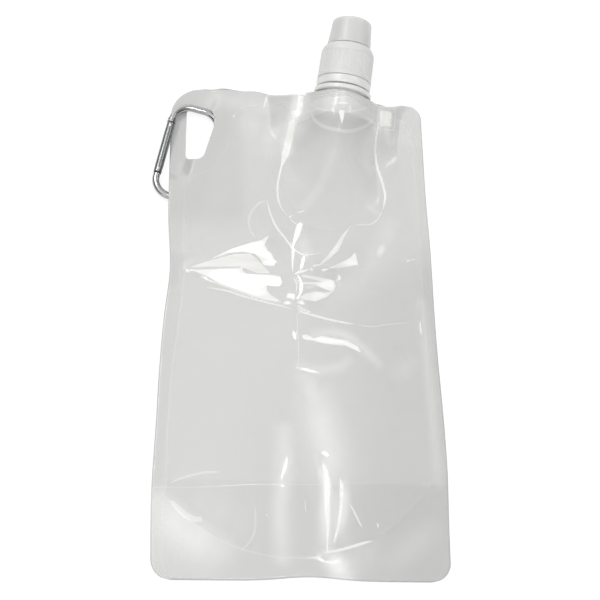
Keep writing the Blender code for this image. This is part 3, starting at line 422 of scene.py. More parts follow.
def ring_lift(x, y, run):
    """Underside of the back panel where it lies over the hook's wire, sinking past it in a run."""
    dx, dy = x - RING_X, y - RING_Y
    u, v = leaning(dx, dy, RING_LEAN)
    plane = RING_Z - (RING_NORMAL.x * dx + RING_NORMAL.y * dy) / RING_NORMAL.z
    foot = smooth(-v, RING_LONG - 14, RING_LONG - 4)
    spine = smooth(u + 0.5 - 4 * smooth(v, RING_LONG - 6, RING_LONG + 4), 0, 5.8)
    # left of the hole the film lies flat, so that the opening gate passes above it
    spine = spine * (1 - fall(x, -48.8, -44) * smooth(y, 188, 194))
    over = 1 - (1 - foot) * (1 - spine)
    fade = fall(u - RING_WIDE, 3, 3 + run) * fall(-v - RING_LONG, 3.5, 3.5 + min(run, 34))
    fade = fade * (1 - 0.6 * smooth(v, RING_LONG + 3.5, RING_LONG + 13.5))
    return (plane + WIRE + 0.3) * over * fade


def tongue(x, y):
    """Gap between the panels over the weld base and in the swelling below it."""
    across, along = spout_place(x, y)
    down = np.maximum(-along, 0.0)
    return 2 * lens(across, FILM_HALF + 0.19 * down, FILM_RISE * fall(down, 0, 52))


# how far the top edge is drawn in, where, and over what reach
TOP_TRIMS = [(0.9, -25.5, 5.5), (-1.3, -12.0, 6.5), (1.45, 47.5, 4.5), (-0.4, 40.5, 3.0)]


def panel_place(share, row, facing):
    """Place on the table of a panel's point: a share of the width, at a row of the sheet."""
    x = left_side(row) + share * (right_side(row) - left_side(row))
    across, _ = spout_place(x, row)
    square = np.clip(across, -0.4 * FILM_HALF, FILM_HALF) * math.tan(LEAN)
    drop = 2.2 * smooth(x, 10, 45)
    edge = LENGTH - SPOUT_Y - (WELD_LENGTH - 0.4) * math.cos(TILT)
    beside = fall(past_base(across), 0, np.where(across < 0, 26, 12.5))
    pull = drop + (edge + square - drop) * beside
    for shift, middle, reach in TOP_TRIMS:
        pull = pull + shift * bell(x - middle, reach)
    pull = smooth(row, LENGTH - 80, LENGTH) * pull
    slope = facing * math.sin(TILT) * lens(across, FILM_HALF, WELD_THICKNESS)
    rise = 1.6 * bell(x - 3, 15) * fall(row, 0, 30)
    return x, row - pull - smooth(row, LENGTH - 28, LENGTH) * slope + rise


def chamber(x, y, row):
    """0 on the welded margins and at the crease, 1 in the middle of the water chamber."""
    tab = (x - RING_X) * 0.88 - (y - RING_Y - RING_LONG) * 0.47
    value = from_sides(x, row, 7.5, 37.5, 5, 35) * smooth(np.abs(y - FOLD_Y), 0, 42)
    return value * smooth(y, 8, 55) * smooth(tab, 16, 40) * smooth(LENGTH - row, 9, 34)


def back_height(x, y, ring_run=28, spout_run=18):
    """Middle height of the back panel."""
    upper = np.maximum(ring_lift(x, y, ring_run), spout_lift(x, y, spout_run))
    return FILM / 2 + np.where(y > FOLD_Y, upper, 0.0)


def hard_floor(x, y):
    """Lowest place of the back panel over what is hard: the wire of the hook and the weld base."""
    across, _ = spout_place(x, y)
    base = spout_lift(x, y, 4) * fall(np.abs(across), FILM_HALF + 1, FILM_HALF + 4)
    wire = ring_lift(x, y, 5) * fall(x, -34, -30)
    return FILM / 2 + np.where(y > FOLD_Y, np.maximum(wire, base), 0.0)


def front_gap(x, y, row):
    """How far the front panel lies above the back panel before it is crumpled."""
    puff = chamber(x, y, row)
    free = np.where(y > FOLD_Y, np.hypot(tongue(x, y), 3.4 * puff), 4 * puff)
    across, _ = spout_place(x, y)
    wing = smooth(past_base(across), 0, np.where(across < 0, 19, 13.5))
    folded = fall(y, GUSSET + 1, GUSSET + 24)
    least = np.where(y > FOLD_Y, 1.4 * wing * (1 - wing), folded * (STEP + GUSSET_OPENING + FILM))
    hump = 0.8 * bell(y - FOLD_Y, 14) * from_sides(x, row, 0, 20, 0, 20)
    return np.hypot(STEP + least, free) + hump


print("film over the weld base", round(2 * FILM_RISE, 1), "mm high")

# %% [markdown]
# The sheet is a grid of points. Its rows and columns lie closer together round the crumple in the
# middle, where the creases are finest.

# %% Grid of the film
ROWS = 300
COLUMNS = 155


def crowded(count, length, middle, reach, extra):
    """Places from 0 to length that lie closer together round a middle."""
    fine = np.linspace(0, length, 4001)
    density = 1 + extra * bell(fine - middle, reach)
    share = np.concatenate([[0], np.cumsum((density[1:] + density[:-1]) / 2)])
    return np.interp(np.linspace(0, share[-1], count), share, fine)


row_places = crowded(ROWS, LENGTH, 134, 22, 1.0)
column_places = crowded(COLUMNS, 1.0, 0.5, 0.35, 0.35)
shares, rows = np.meshgrid(column_places, row_places)
front_x, front_y = panel_place(shares, rows, 1)
back_x, back_y = panel_place(shares, rows, -1)
print("film grid", COLUMNS, "x", ROWS)

# %% [markdown]
# ## Crumples
# A film that has been folded doesn't bend smoothly: it breaks into flat facets with sharp creases
# between them, and each facet mirrors one lamp. So the crumples are drawn as sheets and lines,
# those of the first column aimed at a lamp. A height field that comes closest to all of those
# slopes is then worked out, and the film around them gives way gently. Each sheet and line also
# has a tone with which the material paints a highlight into the film's colour, on top of the
# mirror that an aimed one gives. Painted sheen marks are broad, faint painted light, and dull marks
# are places without gloss.
#
# A sheet is written as its lamp, its tone and its outline, and a line as its lamp, half its width,
# its tone and its path. A painted sheen mark or a dull mark is its reach, its tone and its path.
# Neighbouring lines run in opposite directions, because the material reads on which side of a line
# a point lies, and the side must not jump half way between two lines.

# %% Facets and strokes
# Each sheet's tone paints a highlight into the film's colour; a sheet with a lamp is also aimed at
# it.
SHEETS = [
    # fan that opens from the left end of the crease
    ("front", 1, [(-40.4, 138.7), (-30.8, 143.8), (-22, 146.9), (-16.7, 148.4), (-13.6, 150.7),
        (-15.4, 146.2), (-14, 143.8), (-12.3, 142.7), (-11, 140.1), (-10.5, 137.2), (-13.2, 137),
        (-15.8, 137.4), (-17.6, 140.2), (-19.8, 142.1), (-25.1, 142.8), (-30.8, 142.1),
        (-36.9, 139.8)]),
    (None, 0.8, [(-48.6, 135), (-41.7, 137.7), (-34.3, 140.2), (-28.2, 141.9), (-22, 142.2),
        (-18.9, 140.2), (-16.3, 137.4), (-12.7, 133), (-18.5, 132.9), (-22, 134), (-26.4, 135.5),
        (-34.2, 135.1), (-43.8, 134.9)]),
    ("front", 1, [(-49.4, 134), (-43.8, 133.7), (-34.2, 134.5), (-25.5, 135.1), (-24.8, 133.6),
        (-23.3, 132.7), (-18.5, 132.5), (-12.3, 132.5), (-8.3, 131.9), (-8.4, 127.6), (-11, 127.5),
        (-14.5, 127.8), (-14.1, 125.5), (-11.9, 123.4), (-8.8, 121.7), (-9.3, 120.7),
        (-15.4, 121.6), (-26.3, 125), (-34.1, 127.5), (-42, 131.4)]),
    # smaller sheets right of the middle
    ("right", 0.74, [(0.9, 132.8), (8.9, 132.5), (15.6, 132), (16.6, 129.2), (15.4, 126.5),
        (11.5, 127), (6.6, 128.5), (0.9, 128), (0.9, 129), (10.2, 130.4), (0.9, 131.6)]),
    ("right", 0.76, [(15.4, 126.7), (12.3, 123.5), (6.9, 120.7), (1.2, 120.9), (-0.1, 122),
        (2.1, 123.8), (7, 125.4), (11.4, 125.8)]),
    ("right", 0.68, [(24.5, 145.6), (25.8, 145.7), (27, 139.4), (25.6, 139.5), (20.2, 137.8),
        (12.1, 136.2), (18, 139.7), (21.6, 142.1), (23.5, 143.6)]),
    ("right", 0.72, [(24.4, 159.6), (20.6, 152.4), (17.7, 145.8), (14, 141.7), (9.5, 137.8),
        (5.9, 136.4), (5.4, 137.6), (9, 138.5), (12.7, 143.1), (16.4, 148.7), (19.2, 153.3)]),
    # head of the upright crease
    ("left", 1, [(-1, 157.3), (0.4, 158.1), (1.7, 157), (1.2, 154.9), (0.3, 151.9), (-1.6, 148.3),
        (-2.5, 145.8), (-3.1, 147.8), (-2.4, 151.8), (-1.7, 155.3)]),
    (None, 1, [(-3, 132.7), (-0.4, 135), (5.4, 135.9), (1.4, 133.8)]),
    # swelling above the gusset
    ("left", 1, [(8.6, 49.3), (9.8, 48.1), (11.2, 45.1), (11.9, 40.5), (11.5, 32.2), (10.9, 21.9),
        (10.1, 11.1), (9.5, 11), (9.6, 19.9), (8.9, 32.2), (9, 40.5)]),
    ("left", 1, [(15.9, 43.1), (17.3, 39), (16.9, 32.3), (16.1, 26.5), (14.9, 20.8), (13.2, 15.9),
        (11.9, 12.3), (12.6, 16.7), (14.2, 23.2), (15.2, 30.2), (15.5, 37.3)]),
    # crease across the lower half
    ("front", 1, [(0.6, 104.7), (2.7, 104.8), (5.8, 103.4), (9.2, 104.2), (14.9, 103.5),
        (20.5, 102.5), (24.8, 100.1), (27.3, 96.7), (23.9, 98.4), (19.6, 100.3), (14.4, 100.6),
        (9.2, 101.2), (5.7, 102.1), (2.3, 102.5), (0.8, 103.1)]),
    # corner of the left foot
    ("front", 0.6, [(-54.5, 33), (-51.2, 30.8), (-46.7, 26.9), (-43.5, 25.3), (-40.5, 25.2),
        (-40.3, 23.1), (-44.3, 22.9), (-47.9, 24.6), (-52.2, 28.6)]),
    # flank of the swelling below the spout, painted highlights
    (None, 0.95, [(-2, 208.8), (-2.4, 200.8), (-4.2, 192.8), (-8.5, 184), (-7.6, 193.8),
        (-6.1, 200.7), (-4.7, 207.6)]),
    (None, 0.9, [(-4.1, 212.5), (-0.4, 211.7), (-0.9, 208.4), (-3.2, 208.8)]),
    # the stamp beside the spout, filled with a painted highlight
    (None, 1, [(37.1, 213.1), (44.1, 216.1), (43.8, 209.7), (37.4, 205.9)]),
    # painted highlight: a drop of light below the weld base
    (None, 1, [(16, 206), (19, 206.1), (18.4, 202), (17.6, 198.4), (16.9, 202)]),
]
# Each line's tone paints a highlight along it into the film's colour; one with a lamp is also
# aimed.
LINES = [
    # flanks of the swelling below the spout
    (None, 0.55, 0.85, [(-3.2, 207.8), (-4.7, 200.7), (-6.6, 191.7), (-8.5, 183.2), (-9.7, 176),
        (-9.7, 169.9), (-8.4, 164.9), (-5.5, 161)]),
    (None, 0.75, 0.95, [(37, 209.3), (35.9, 203.8), (35.6, 197.4), (36.8, 191.1), (38.8, 183.9),
        (40.2, 176.7), (39.7, 171.5), (38.6, 167.4)]),
    (None, 0.4, 0.5, [(38.6, 167.4), (36.1, 162.7), (32.4, 159.7), (26, 158.9)]),
    # arcs and lines that run into the two nodes of the crumple
    (None, 0.55, 0.85, [(-14.5, 167.7), (-13.6, 162.7), (-10.5, 155.3), (-6.5, 150.3),
        (-2.9, 145.6), (-0.3, 143.5), (1.9, 142.6), (5.5, 142.8), (9.6, 143.7)]),
    (None, 0.8, 0.25, [(-14.5, 167.7), (-18.5, 165.5), (-22.1, 160.3), (-22.5, 154.3),
        (-19.4, 148.5)]),
    ("left", 0.42, 1, [(-1.5, 153.3), (-2.7, 146.8), (-3, 140.4), (-3, 133.6)]),
    ("left", 0.75, 1, [(2.4, 142.6), (1.5, 139.2), (0.5, 135.2)]),
    ("left", 0.55, 1, [(-1.3, 133.2), (0.2, 130.4), (0.9, 127.1), (0.2, 123.7), (-1.9, 120.8)]),
    (None, 0.45, 0.6, [(-2.6, 131.7), (-1.3, 127.9), (-1.6, 124.6)]),
    # the crease, left and right of the lower node
    (None, 0.6, 0.6, [(-44.2, 130.9), (-35, 127.7), (-24.1, 124.3), (-16.7, 122)]),
    (None, 0.65, 0.7, [(-3, 116.5), (-7.1, 118.2), (-14.1, 120.3), (-23.7, 122.5), (-32.4, 124.9),
        (-41, 126)]),
    (None, 0.6, 0.8, [(-1.4, 117.9), (0.3, 115.7), (6.4, 114), (12.9, 112.4), (19.5, 111.2),
        (24.3, 110.5)]),
    (None, 0.45, 0.6, [(-1.4, 118.9), (1.6, 116.9), (5.1, 115.6)]),
    (None, 0.5, 0.3, [(24.3, 110.5), (31.3, 110.1), (40.2, 111.8), (48.3, 113.3)]),
    # creases of the lower half
    ("left", 0.7, 0.9, [(-2.9, 106.7), (-2.5, 104.4), (-2.1, 102.1)]),
    (None, 0.35, 0.25, [(-1.3, 115.6), (-1.1, 106.3), (-0.8, 97.1), (-1.4, 87.1)]),
    ("front", 0.6, 0.75, [(-2.6, 89.1), (0.8, 89), (4.6, 88.2), (8.5, 87.2)]),
    ("left", 0.62, 1, [(-6.1, 50.7), (-6.4, 48.6), (-7, 45.6), (-8.1, 42.6), (-8.5, 40.1)]),
    (None, 0.45, 0.8, [(-9.1, 38), (-6.9, 38.1)]),
    # the foot
    (None, 0.45, 0.7, [(19.3, 31.5), (21.3, 27.8), (23.2, 23.8), (24.6, 21.5)]),
    (None, 0.75, 0.85, [(7.4, 11), (13.1, 11.9), (19.2, 13.6), (24.6, 15.3), (29.1, 16.5)]),
    (None, 0.25, 0.5, [(1.3, 32.8), (1.2, 30), (1.6, 27.1)]),
    (None, 0.4, 0.7, [(30.6, 23.9), (31, 22.7), (30.9, 21.4)]),
    (None, 0.4, 0.4, [(-14.6, 26.8), (-14.4, 25.6)]),
    (None, 0.6, 0.28, [(-19.5, 30.4), (-19.1, 24.3), (-19.7, 18.6), (-21.9, 14.6), (-25, 11.8)]),
    (None, 0.6, 0.45, [(-54.7, 38.4), (-49.9, 40.5), (-45.1, 42.1), (-39.5, 43.2), (-33.4, 43.4)]),
    # the flat top edge and small dents
    (None, 0.55, 0.95, [(-0.3, 224.1), (-0.3, 218.6), (-0.8, 213.6)]),
    (None, 0.4, 0.8, [(-14.4, 224.7), (-15.1, 221.4), (-15.8, 218.1)]),
    (None, 0.34, 0.6, [(-1.4, 162.6), (0.9, 163.2), (2.7, 164.3)]),
    (None, 0.34, 0.6, [(-4.6, 159.4), (-2.8, 158.2), (-0.8, 156.8)]),
    (None, 0.4, 0.7, [(-5, 160.1), (-4.1, 160.7), (-3.2, 161.2)]),
    (None, 0.6, 0.8, [(48.8, 143.1), (50.2, 143.4)]),
    (None, 0.4, 0.35, [(50.2, 143.4), (53.5, 144.5)]),
    (None, 0.5, 0.6, [(-30.2, 211.2), (-29.5, 212.6)]),
    (None, 0.4, 0.75, [(53.7, 114.5), (53.7, 111.1), (54, 107.4)]),
    (None, 0.6, 0.9, [(-50.1, 134.2), (-48.1, 132.6)]),
    # weld base: painted light lines on its borders, painted highlights on its ridges; stamp's frame
    (None, 0.9, 0.27, [(4.6, 210.5), (5.3, 205.7), (7, 202.8), (10, 199.7), (14.2, 197.8),
        (19.3, 197.1), (25.1, 199.2), (30.1, 203.2), (34.6, 209.1)]),
    (None, 0.6, 0.28, [(31.8, 212.8), (25.5, 208), (19, 205.2), (13.3, 205.9), (8.3, 208.3),
        (4.5, 213.1)]),
    (None, 0.34, 0.85, [(15.6, 214.7), (17.9, 214.9), (20.2, 214.7)]),
    (None, 0.34, 0.85, [(20.8, 212.2), (18.1, 212.4), (15.4, 212.2)]),
    (None, 0.5, 0.9, [(15.7, 209.5), (18.2, 209.7), (20.7, 209.6)]),
    (None, 0.3, 0.45, [(36.4, 214.2), (44.3, 218.3), (46, 218.1), (45.6, 210.7), (43.8, 208.3),
        (36.7, 204.4)]),
]
# Broad painted sheens and patches of painted light, some laid over dips whose own shading is dark.
PAINTED_SHEEN_MARKS = [
    (4.2, 0.62, [(-7.1, 61.4), (-7.7, 40.1), (-9, 27.7), (-8.3, 9.6)]),
    (8, 0.75, [(6.1, 74.8), (10, 55.3), (11.3, 41.4)]),
    (3.4, 0.9, [(6.5, 51), (10, 39.7), (9.8, 28.1), (9.9, 15.9)]),
    (2.6, 0.8, [(17.1, 39.8), (17.2, 30.2), (15.3, 19.2)]),
    (6.0, 0.6, [(9.2, 40.5), (13.1, 28.1), (14.1, 17.9)]),
    (5, 0.6, [(2, 84.5), (6.9, 71.3), (10.8, 57.5)]),
    (2, 0.85, [(38.2, 149.8), (36.2, 145.2)]),
    (5, 0.35, [(42.3, 160.5), (37.2, 148.2), (32.4, 140.1)]),
    (3, 0.4, [(1.2, 150.5), (2.8, 141.7)]),
    (2.2, 0.7, [(18.2, 215.2), (18.2, 209.2)]),
    (6, 0.4, [(5, 213), (11, 213.5), (19, 212.5), (27, 214), (33, 214)]),
    (2.4, 0.5, [(6.6, 105.2), (17.1, 105.6), (25.7, 100.8), (33.3, 92.8)]),
    (2.6, 0.4, [(-0.5, 89.8), (7.2, 88.3), (16.7, 90.4), (20.3, 93.2)]),
    (2.2, 0.4, [(2, 81.8), (4.9, 78.3)]),
    (8, 0.22, [(19.9, 128.4), (29, 133.6), (45.6, 151.6)]),
    (4, 0.22, [(48.2, 94.2), (42.7, 88.5)]),
    (2, 0.65, [(-53.2, 29.8), (-46.7, 24.7), (-39.5, 22.8)]),
    (9, 0.75, [(-56.7, 28.9), (-48.5, 19.8), (-35.3, 13.2)]),
    (14, 0.3, [(-47.6, 31.1), (-29.5, 23.3)]),
    (2.2, 0.22, [(14.6, 188.4), (8.8, 175.1), (1.8, 165.5)]),
    (6, 0.3, [(-38.6, 220.9), (-17.7, 219), (-1.3, 216.9)]),
    (5.5, 0.75, [(0.6, 219.9), (-1.4, 208.9), (-4.7, 198.1)]),
    (6, 0.4, [(-6.4, 212.9), (-11.1, 204.1), (-13.4, 194.9)]),
    (4.5, 0.4, [(38.9, 219.7), (39.8, 207.3), (41.2, 199)]),
    (4.5, 1, [(11, 10.5), (13.5, 6.5), (16.5, 2.5)]),
    (7, 0.3, [(-24, 214), (-20, 205)]),
    (6, 0.2, [(37, 8.2), (52, 20.5)]),
    (2.5, 0.3, [(55, 122.6), (56.9, 76.3), (57.8, 41.5)]),
]
DULL = [
    (15, 1, [(2, 190), (12, 170)]),
    (5, 1, [(-56, 139), (-54, 135), (-55, 130)]), (3, 0.8, [(-52, 139.8), (-46, 141.6)]),
]
# the swelling round the weld base, where the film may be steep
TONGUE = [(0.6, 212.0), (-4.4, 194.5), (-8.4, 181.5), (-9.9, 171.9), (-8.6, 164.9), (-5.5, 161.0),
          (10.0, 157.0), (26.9, 158.7), (38.6, 166.4), (40.1, 175.7), (36.2, 193.2), (36.5, 212.0)]
FACET_EDGE = 0.5
FAR = 1000.0  # further away than any place on the film


def curve(points, count=6):
    """A smooth path through points, by Catmull and Rom's rule."""
    ends = [points[0], *points, points[-1]]
    out = []
    for a, b, c, d in zip(ends, ends[1:], ends[2:], ends[3:]):
        for step in range(count):
            t = step / count
            weights = (
                (-t + 2 * t**2 - t**3) / 2,
                (2 - 5 * t**2 + 3 * t**3) / 2,
                (t + 4 * t**2 - 3 * t**3) / 2,
                (t**3 - t**2) / 2,
            )
            out.append(tuple(sum(w * p[i] for w, p in zip(weights, (a, b, c, d))) for i in (0, 1)))
    return out + [points[-1]]


def path_distance(path, x, y):
    """Distance to a path, how far along it the nearest point is, on which side, and that point."""
    points = np.array(path)
    lengths = np.hypot(*(points[1:] - points[:-1]).T)
    best = np.full(x.shape, FAR)
    along, side, near_x, near_y = np.zeros(x.shape), np.ones(x.shape), x, y
    run = 0.0
    for start, end, length in zip(points[:-1], points[1:], lengths):
        if length < 1e-6:
            continue
        step = (end - start) / length
        off_x, off_y = x - start[0], y - start[1]
        part = np.clip(off_x * step[0] + off_y * step[1], 0, length)
        far = np.hypot(off_x - part * step[0], off_y - part * step[1])
        nearer = far < best
        best = np.where(nearer, far, best)
        along = np.where(nearer, (run + part) / lengths.sum(), along)
        side = np.where(nearer, np.sign(off_x * step[1] - off_y * step[0]), side)
        near_x = np.where(nearer, start[0] + part * step[0], near_x)
        near_y = np.where(nearer, start[1] + part * step[1], near_y)
        run += length
    return best, along, side, (near_x, near_y)


def inside(outline, x, y):
    """True within a closed outline."""
    points = np.array(outline)
    within = np.zeros(x.shape, bool)
    for (ax, ay), (bx, by) in zip(points, np.roll(points, -1, axis=0)):
        if ay != by:
            crossing = (bx - ax) * (y - ay) / (by - ay) + ax
            within ^= ((ay > y) != (by > y)) & (x < crossing)
    return within


def depth_in(outline, x, y):
    """How deep a place lies within a closed outline, below 0 outside it."""
    far = path_distance(outline + outline[:1], x, y)[0]
    return np.where(inside(outline, x, y), far, -far)


def area_mask(outline, x, y, edge=FACET_EDGE):
    """1 within a closed outline, falling off across its edge."""
    return np.clip(0.5 + depth_in(outline, x, y) / edge, 0, 1)


def taper(along, least):
    """How a stroke narrows towards its ends."""
    return np.sqrt(np.clip(4 * along * (1 - along), least, 1))


def stroke_mask(half, path, x, y):
    """1 along a stroke that narrows at its ends."""
    far, along, *_ = path_distance(path, x, y)
    return np.clip(0.5 + (half * taper(along, 0.08) - far) / FACET_EDGE, 0, 1)


print(len(SHEETS), "sheets,", len(LINES), "lines,", len(PAINTED_SHEEN_MARKS), "soft places")


# %% Painted highlights, sheen and shade
def glow_of(marks, x, y, fading):
    """The strongest of the painted sheen or dull marks at each place, with their fading towards the
    ends.
    """
    value = np.zeros(x.shape)
    for half, tone, path in marks:
        far, along, *_ = path_distance(curve(path), x, y)
        ends = np.clip(1.3 - fading * np.abs(2 * along - 1), 0, 1)
        value = np.maximum(value, tone * bell(far, half) * ends)
    return value


def painted_highlight_fields(x, y):
    """Attributes from which the material paints highlights on sheets and lines, sheen and shade."""
    nearest = np.full(x.shape, FAR)
    fields = {"across": np.full(x.shape, 9.0), "line_on": np.zeros(x.shape)}
    for _, half, tone, path in LINES:
        far, along, side, _ = path_distance(curve(path), x, y)
        narrow = taper(along, 0.0)
        nearer = far - half < nearest
        nearest = np.where(nearer, far - half, nearest)
        across = np.clip(side * far / (half * np.maximum(narrow, 0.35)), -9, 9)
        fields["across"] = np.where(nearer, across, fields["across"])
        strength = tone * np.minimum(1.5 * narrow, 1) * (far < 1)
        fields["line_on"] = np.where(nearer, strength, fields["line_on"])
    fields["sheet"] = np.full(x.shape, -FAR)
    fields["sheet_on"] = np.zeros(x.shape)
    for _, tone, outline in SHEETS:
        depth = depth_in(outline, x, y)
        fields["sheet_on"] = np.where(depth > fields["sheet"], tone, fields["sheet_on"])
        fields["sheet"] = np.maximum(fields["sheet"], depth)
    fields["soft"] = glow_of(PAINTED_SHEEN_MARKS, x, y, 0.6)
    fields["dull"] = glow_of(DULL, x, y, 0.0)
    # over the hook the film hides the wire. Shade is painted into the colour there, towards the
    # lower right, and in the dull places
    fields["hiding"] = smooth(y, 150, 163) * fall(x, -30, -20)
    right = smooth(x, -8, 45) * fall(y, 130, 165)
    fields["painted_shade"] = np.maximum(right, np.maximum(0.6 * fields["hiding"], 0.5 * fields["dull"]))
    return fields


print(len(DULL), "dull places")

# %% [markdown]
# A facet mirrors a lamp when its normal lies halfway between the direction to the lamp and the
# direction to the camera. That gives the slope that each facet needs at each place, and the slopes
# that the calm film around it must keep away from.

# %% Aiming at the lamps
SHUN_MARGIN = 0.035
THIN_DRIVE = 0.16
FILM_LEVEL = 6.0


def aim(lamp, x, y):
    """Slopes with which the film at a place mirrors the middle of a lamp."""
    level = np.full(x.shape, FILM_LEVEL * MM)
    place = np.stack([x * MM + SHIFT.x, y * MM + SHIFT.y, level], -1)
    total = np.zeros(place.shape)
    for target in (LAMPS[lamp]["place"], camera.location):
        away = np.array(target) - place
        total += away / np.linalg.norm(away, axis=-1, keepdims=True)
    return -total[..., 0] / total[..., 2], -total[..., 1] / total[..., 2]


def shun(slope_x, slope_y, x, y):
    """Turns calm slopes away from those that would mirror a lamp by chance."""
    for lamp, facts in LAMPS.items():
        aim_x, aim_y = aim(lamp, x, y)
        wide, long = [side / (1.85 * LAMP_DISTANCE) + SHUN_MARGIN for side in facts["size"]]
        off_x = (slope_x - aim_x) / wide
        off_y = (slope_y - aim_y) / long
        off = np.maximum(np.hypot(off_x, off_y), 1e-6)
        push = np.where(off < 1, 1 / off, 1.0)
        slope_x = aim_x + off_x * push * wide
        slope_y = aim_y + off_y * push * long
    return slope_x, slope_y


def crumple_targets(x, y):
    """How strongly a slope is wanted at each point of the front panel, and the two slopes."""
    fading = smooth(x, -52, -38)
    strength, rise_x, rise_y = np.zeros((3, *x.shape))
    marks = [(lamp, area_mask(outline, x, y)) for lamp, _, outline in SHEETS if lamp]
    for lamp, half, _, path in LINES:
        if lamp:
            drive = 1 + THIN_DRIVE / half
            marks.append((lamp, drive * stroke_mask(half + 0.25, curve(path), x, y)))
    for lamp, mask in marks:
        aim_x, aim_y = [value * max(1.0, mask.max()) for value in aim(lamp, x, y)]
        mask = np.minimum(mask, 1.0) * fading
        rise_x = rise_x * (1 - mask) + aim_x * mask
        rise_y = rise_y * (1 - mask) + aim_y * mask
        strength = np.maximum(strength, mask)
    return strength, rise_x, rise_y


strength, *rises = crumple_targets(front_x, front_y)
print("crumpled share:", round(float((strength > 0.5).mean()), 3))

# %% [markdown]
# The solve itself is plain linear algebra on a grid. Each pair of neighbours has a wanted height
# difference, and each point is held softly near the height that it has without crumples, firmly so
# on the welded margins. The method is that of conjugate gradients, which needs only sums and
# products of whole arrays.

# %% Heights from slopes
ROUNDS = 1600


def solve_heights(base, wanted, weights, hold):
    """Heights whose differences along the rows and the columns are closest to the wanted ones."""

    def spread_back(diff_x, diff_y):
        """Adds each difference to the point after it and takes it from the one before."""
        out = np.zeros(base.shape)
        out[:, 1:] += diff_x
        out[:, :-1] -= diff_x
        out[1:, :] += diff_y
        out[:-1, :] -= diff_y
        return out

    def apply(height):
        """The left side of the equations, for one set of heights."""
        steps = (height[:, 1:] - height[:, :-1], height[1:] - height[:-1])
        return hold * height + spread_back(*[w * step for w, step in zip(weights, steps)])

    height = base.copy()
    left = hold * base + spread_back(*[w * want for w, want in zip(weights, wanted)])
    left -= apply(height)
    way = left.copy()
    size = float((left * left).sum())
    for _ in range(ROUNDS):
        pushed = apply(way)
        step = size / float((way * pushed).sum())
        height += step * way
        left -= step * pushed
        after = float((left * left).sum())
        way = left + (after / size) * way
        size = after
    return height


def between(along_x, along_y):
    """Means of neighbours along the rows, and along the columns."""
    return (along_x[:, 1:] + along_x[:, :-1]) / 2, (along_y[1:] + along_y[:-1]) / 2


def relax(start, slopes, firm, hold, x, y):
    """One solve towards slopes that are given at the points."""
    cells = (x[:, 1:] - x[:, :-1], y[1:] - y[:-1])
    wanted = [slope * cell for slope, cell in zip(between(*slopes), cells)]
    return solve_heights(start, wanted, between(firm, firm), hold)


print("rounds:", ROUNDS)

# %% [markdown]
# The film is solved twice: first without crumples, with every slope turned away from the lamps,
# then with them. Where it would come too near to the pieces under it, it is lifted off them softly.

# %% Crumpled front
CALM_WEIGHT = 0.035
CALM_SLOPE = 0.09
HOLD = 0.00008
LOOSE_HOLD = 0.000002
STEEPEST = 1.3
LIFT_EDGE = 0.12


def crumpled_front(x, y, row):
    """Heights of the front panel with its crumples, always clear of the back panel."""
    across, _ = spout_place(x, y)
    dome = from_sides(x, row, 3, 44, 3, 40) * smooth(row, 9, 55) * fall(row, 165, 200)
    base = back_height(x, y, 60) + front_gap(x, y, row) + 2.5 * dome
    beside_spout = smooth(y, 192, 203) * fall(np.abs(across), 34, 42)
    steep = np.maximum(area_mask(TONGUE, x, y, 3), beside_spout)
    ramps = [
        np.gradient(base, axis=1) / np.gradient(x, axis=1),
        np.gradient(base, axis=0) / np.maximum(np.gradient(y, axis=0), 0.2),
    ]
    ramps = [np.clip(ramp, -STEEPEST, STEEPEST) for ramp in ramps]
    gentle = [CALM_SLOPE * np.tanh(ramp / CALM_SLOPE) for ramp in ramps]
    calm = shun(*[ramp * steep + slope * (1 - steep) for ramp, slope in zip(ramps, gentle)], x, y)
    margin = np.maximum(1 - from_sides(x, row, 1, 4, 1, 4), fall(row, 2, 8))
    margin = np.maximum(margin, 0.2 * smooth(row, LENGTH - 2, LENGTH))
    over_spout = bell(across, 15) * smooth(y, 203, 210)
    held = np.maximum(fall(x, -30, -14) * smooth(y, 150, 168), smooth(y, 203, 211))
    pinned = 0.6 * margin + 0.05 * over_spout + 0.02 * held
    calm_base = relax(base, calm, CALM_WEIGHT + 0 * base, pinned + LOOSE_HOLD, x, y)
    want = [rise * strength + ramp * (1 - strength) for rise, ramp in zip(rises, calm)]
    height = relax(calm_base, want, CALM_WEIGHT + strength, pinned + HOLD, x, y)
    floor = hard_floor(x, y) + STEP
    clear = np.clip((height - floor) / LIFT_EDGE, -50, 300)
    under_gate = fall(x, -48.8, -47) * smooth(y, 186, 192) * fall(y, 203, 209)
    return floor + LIFT_EDGE * np.logaddexp(0, clear) * (1 - under_gate)


front_z = crumpled_front(front_x, front_y, rows)
print("front film up to", round(float(front_z.max()), 2), "mm")

# %% [markdown]
# ## Weld lines
# Where the panels are welded together, the film is dull, and a fine bead runs along the border of
# the weld. Each point of the film keeps its distance from the nearest border as an attribute. The
# material reads it, so the bead can be much finer than the grid.

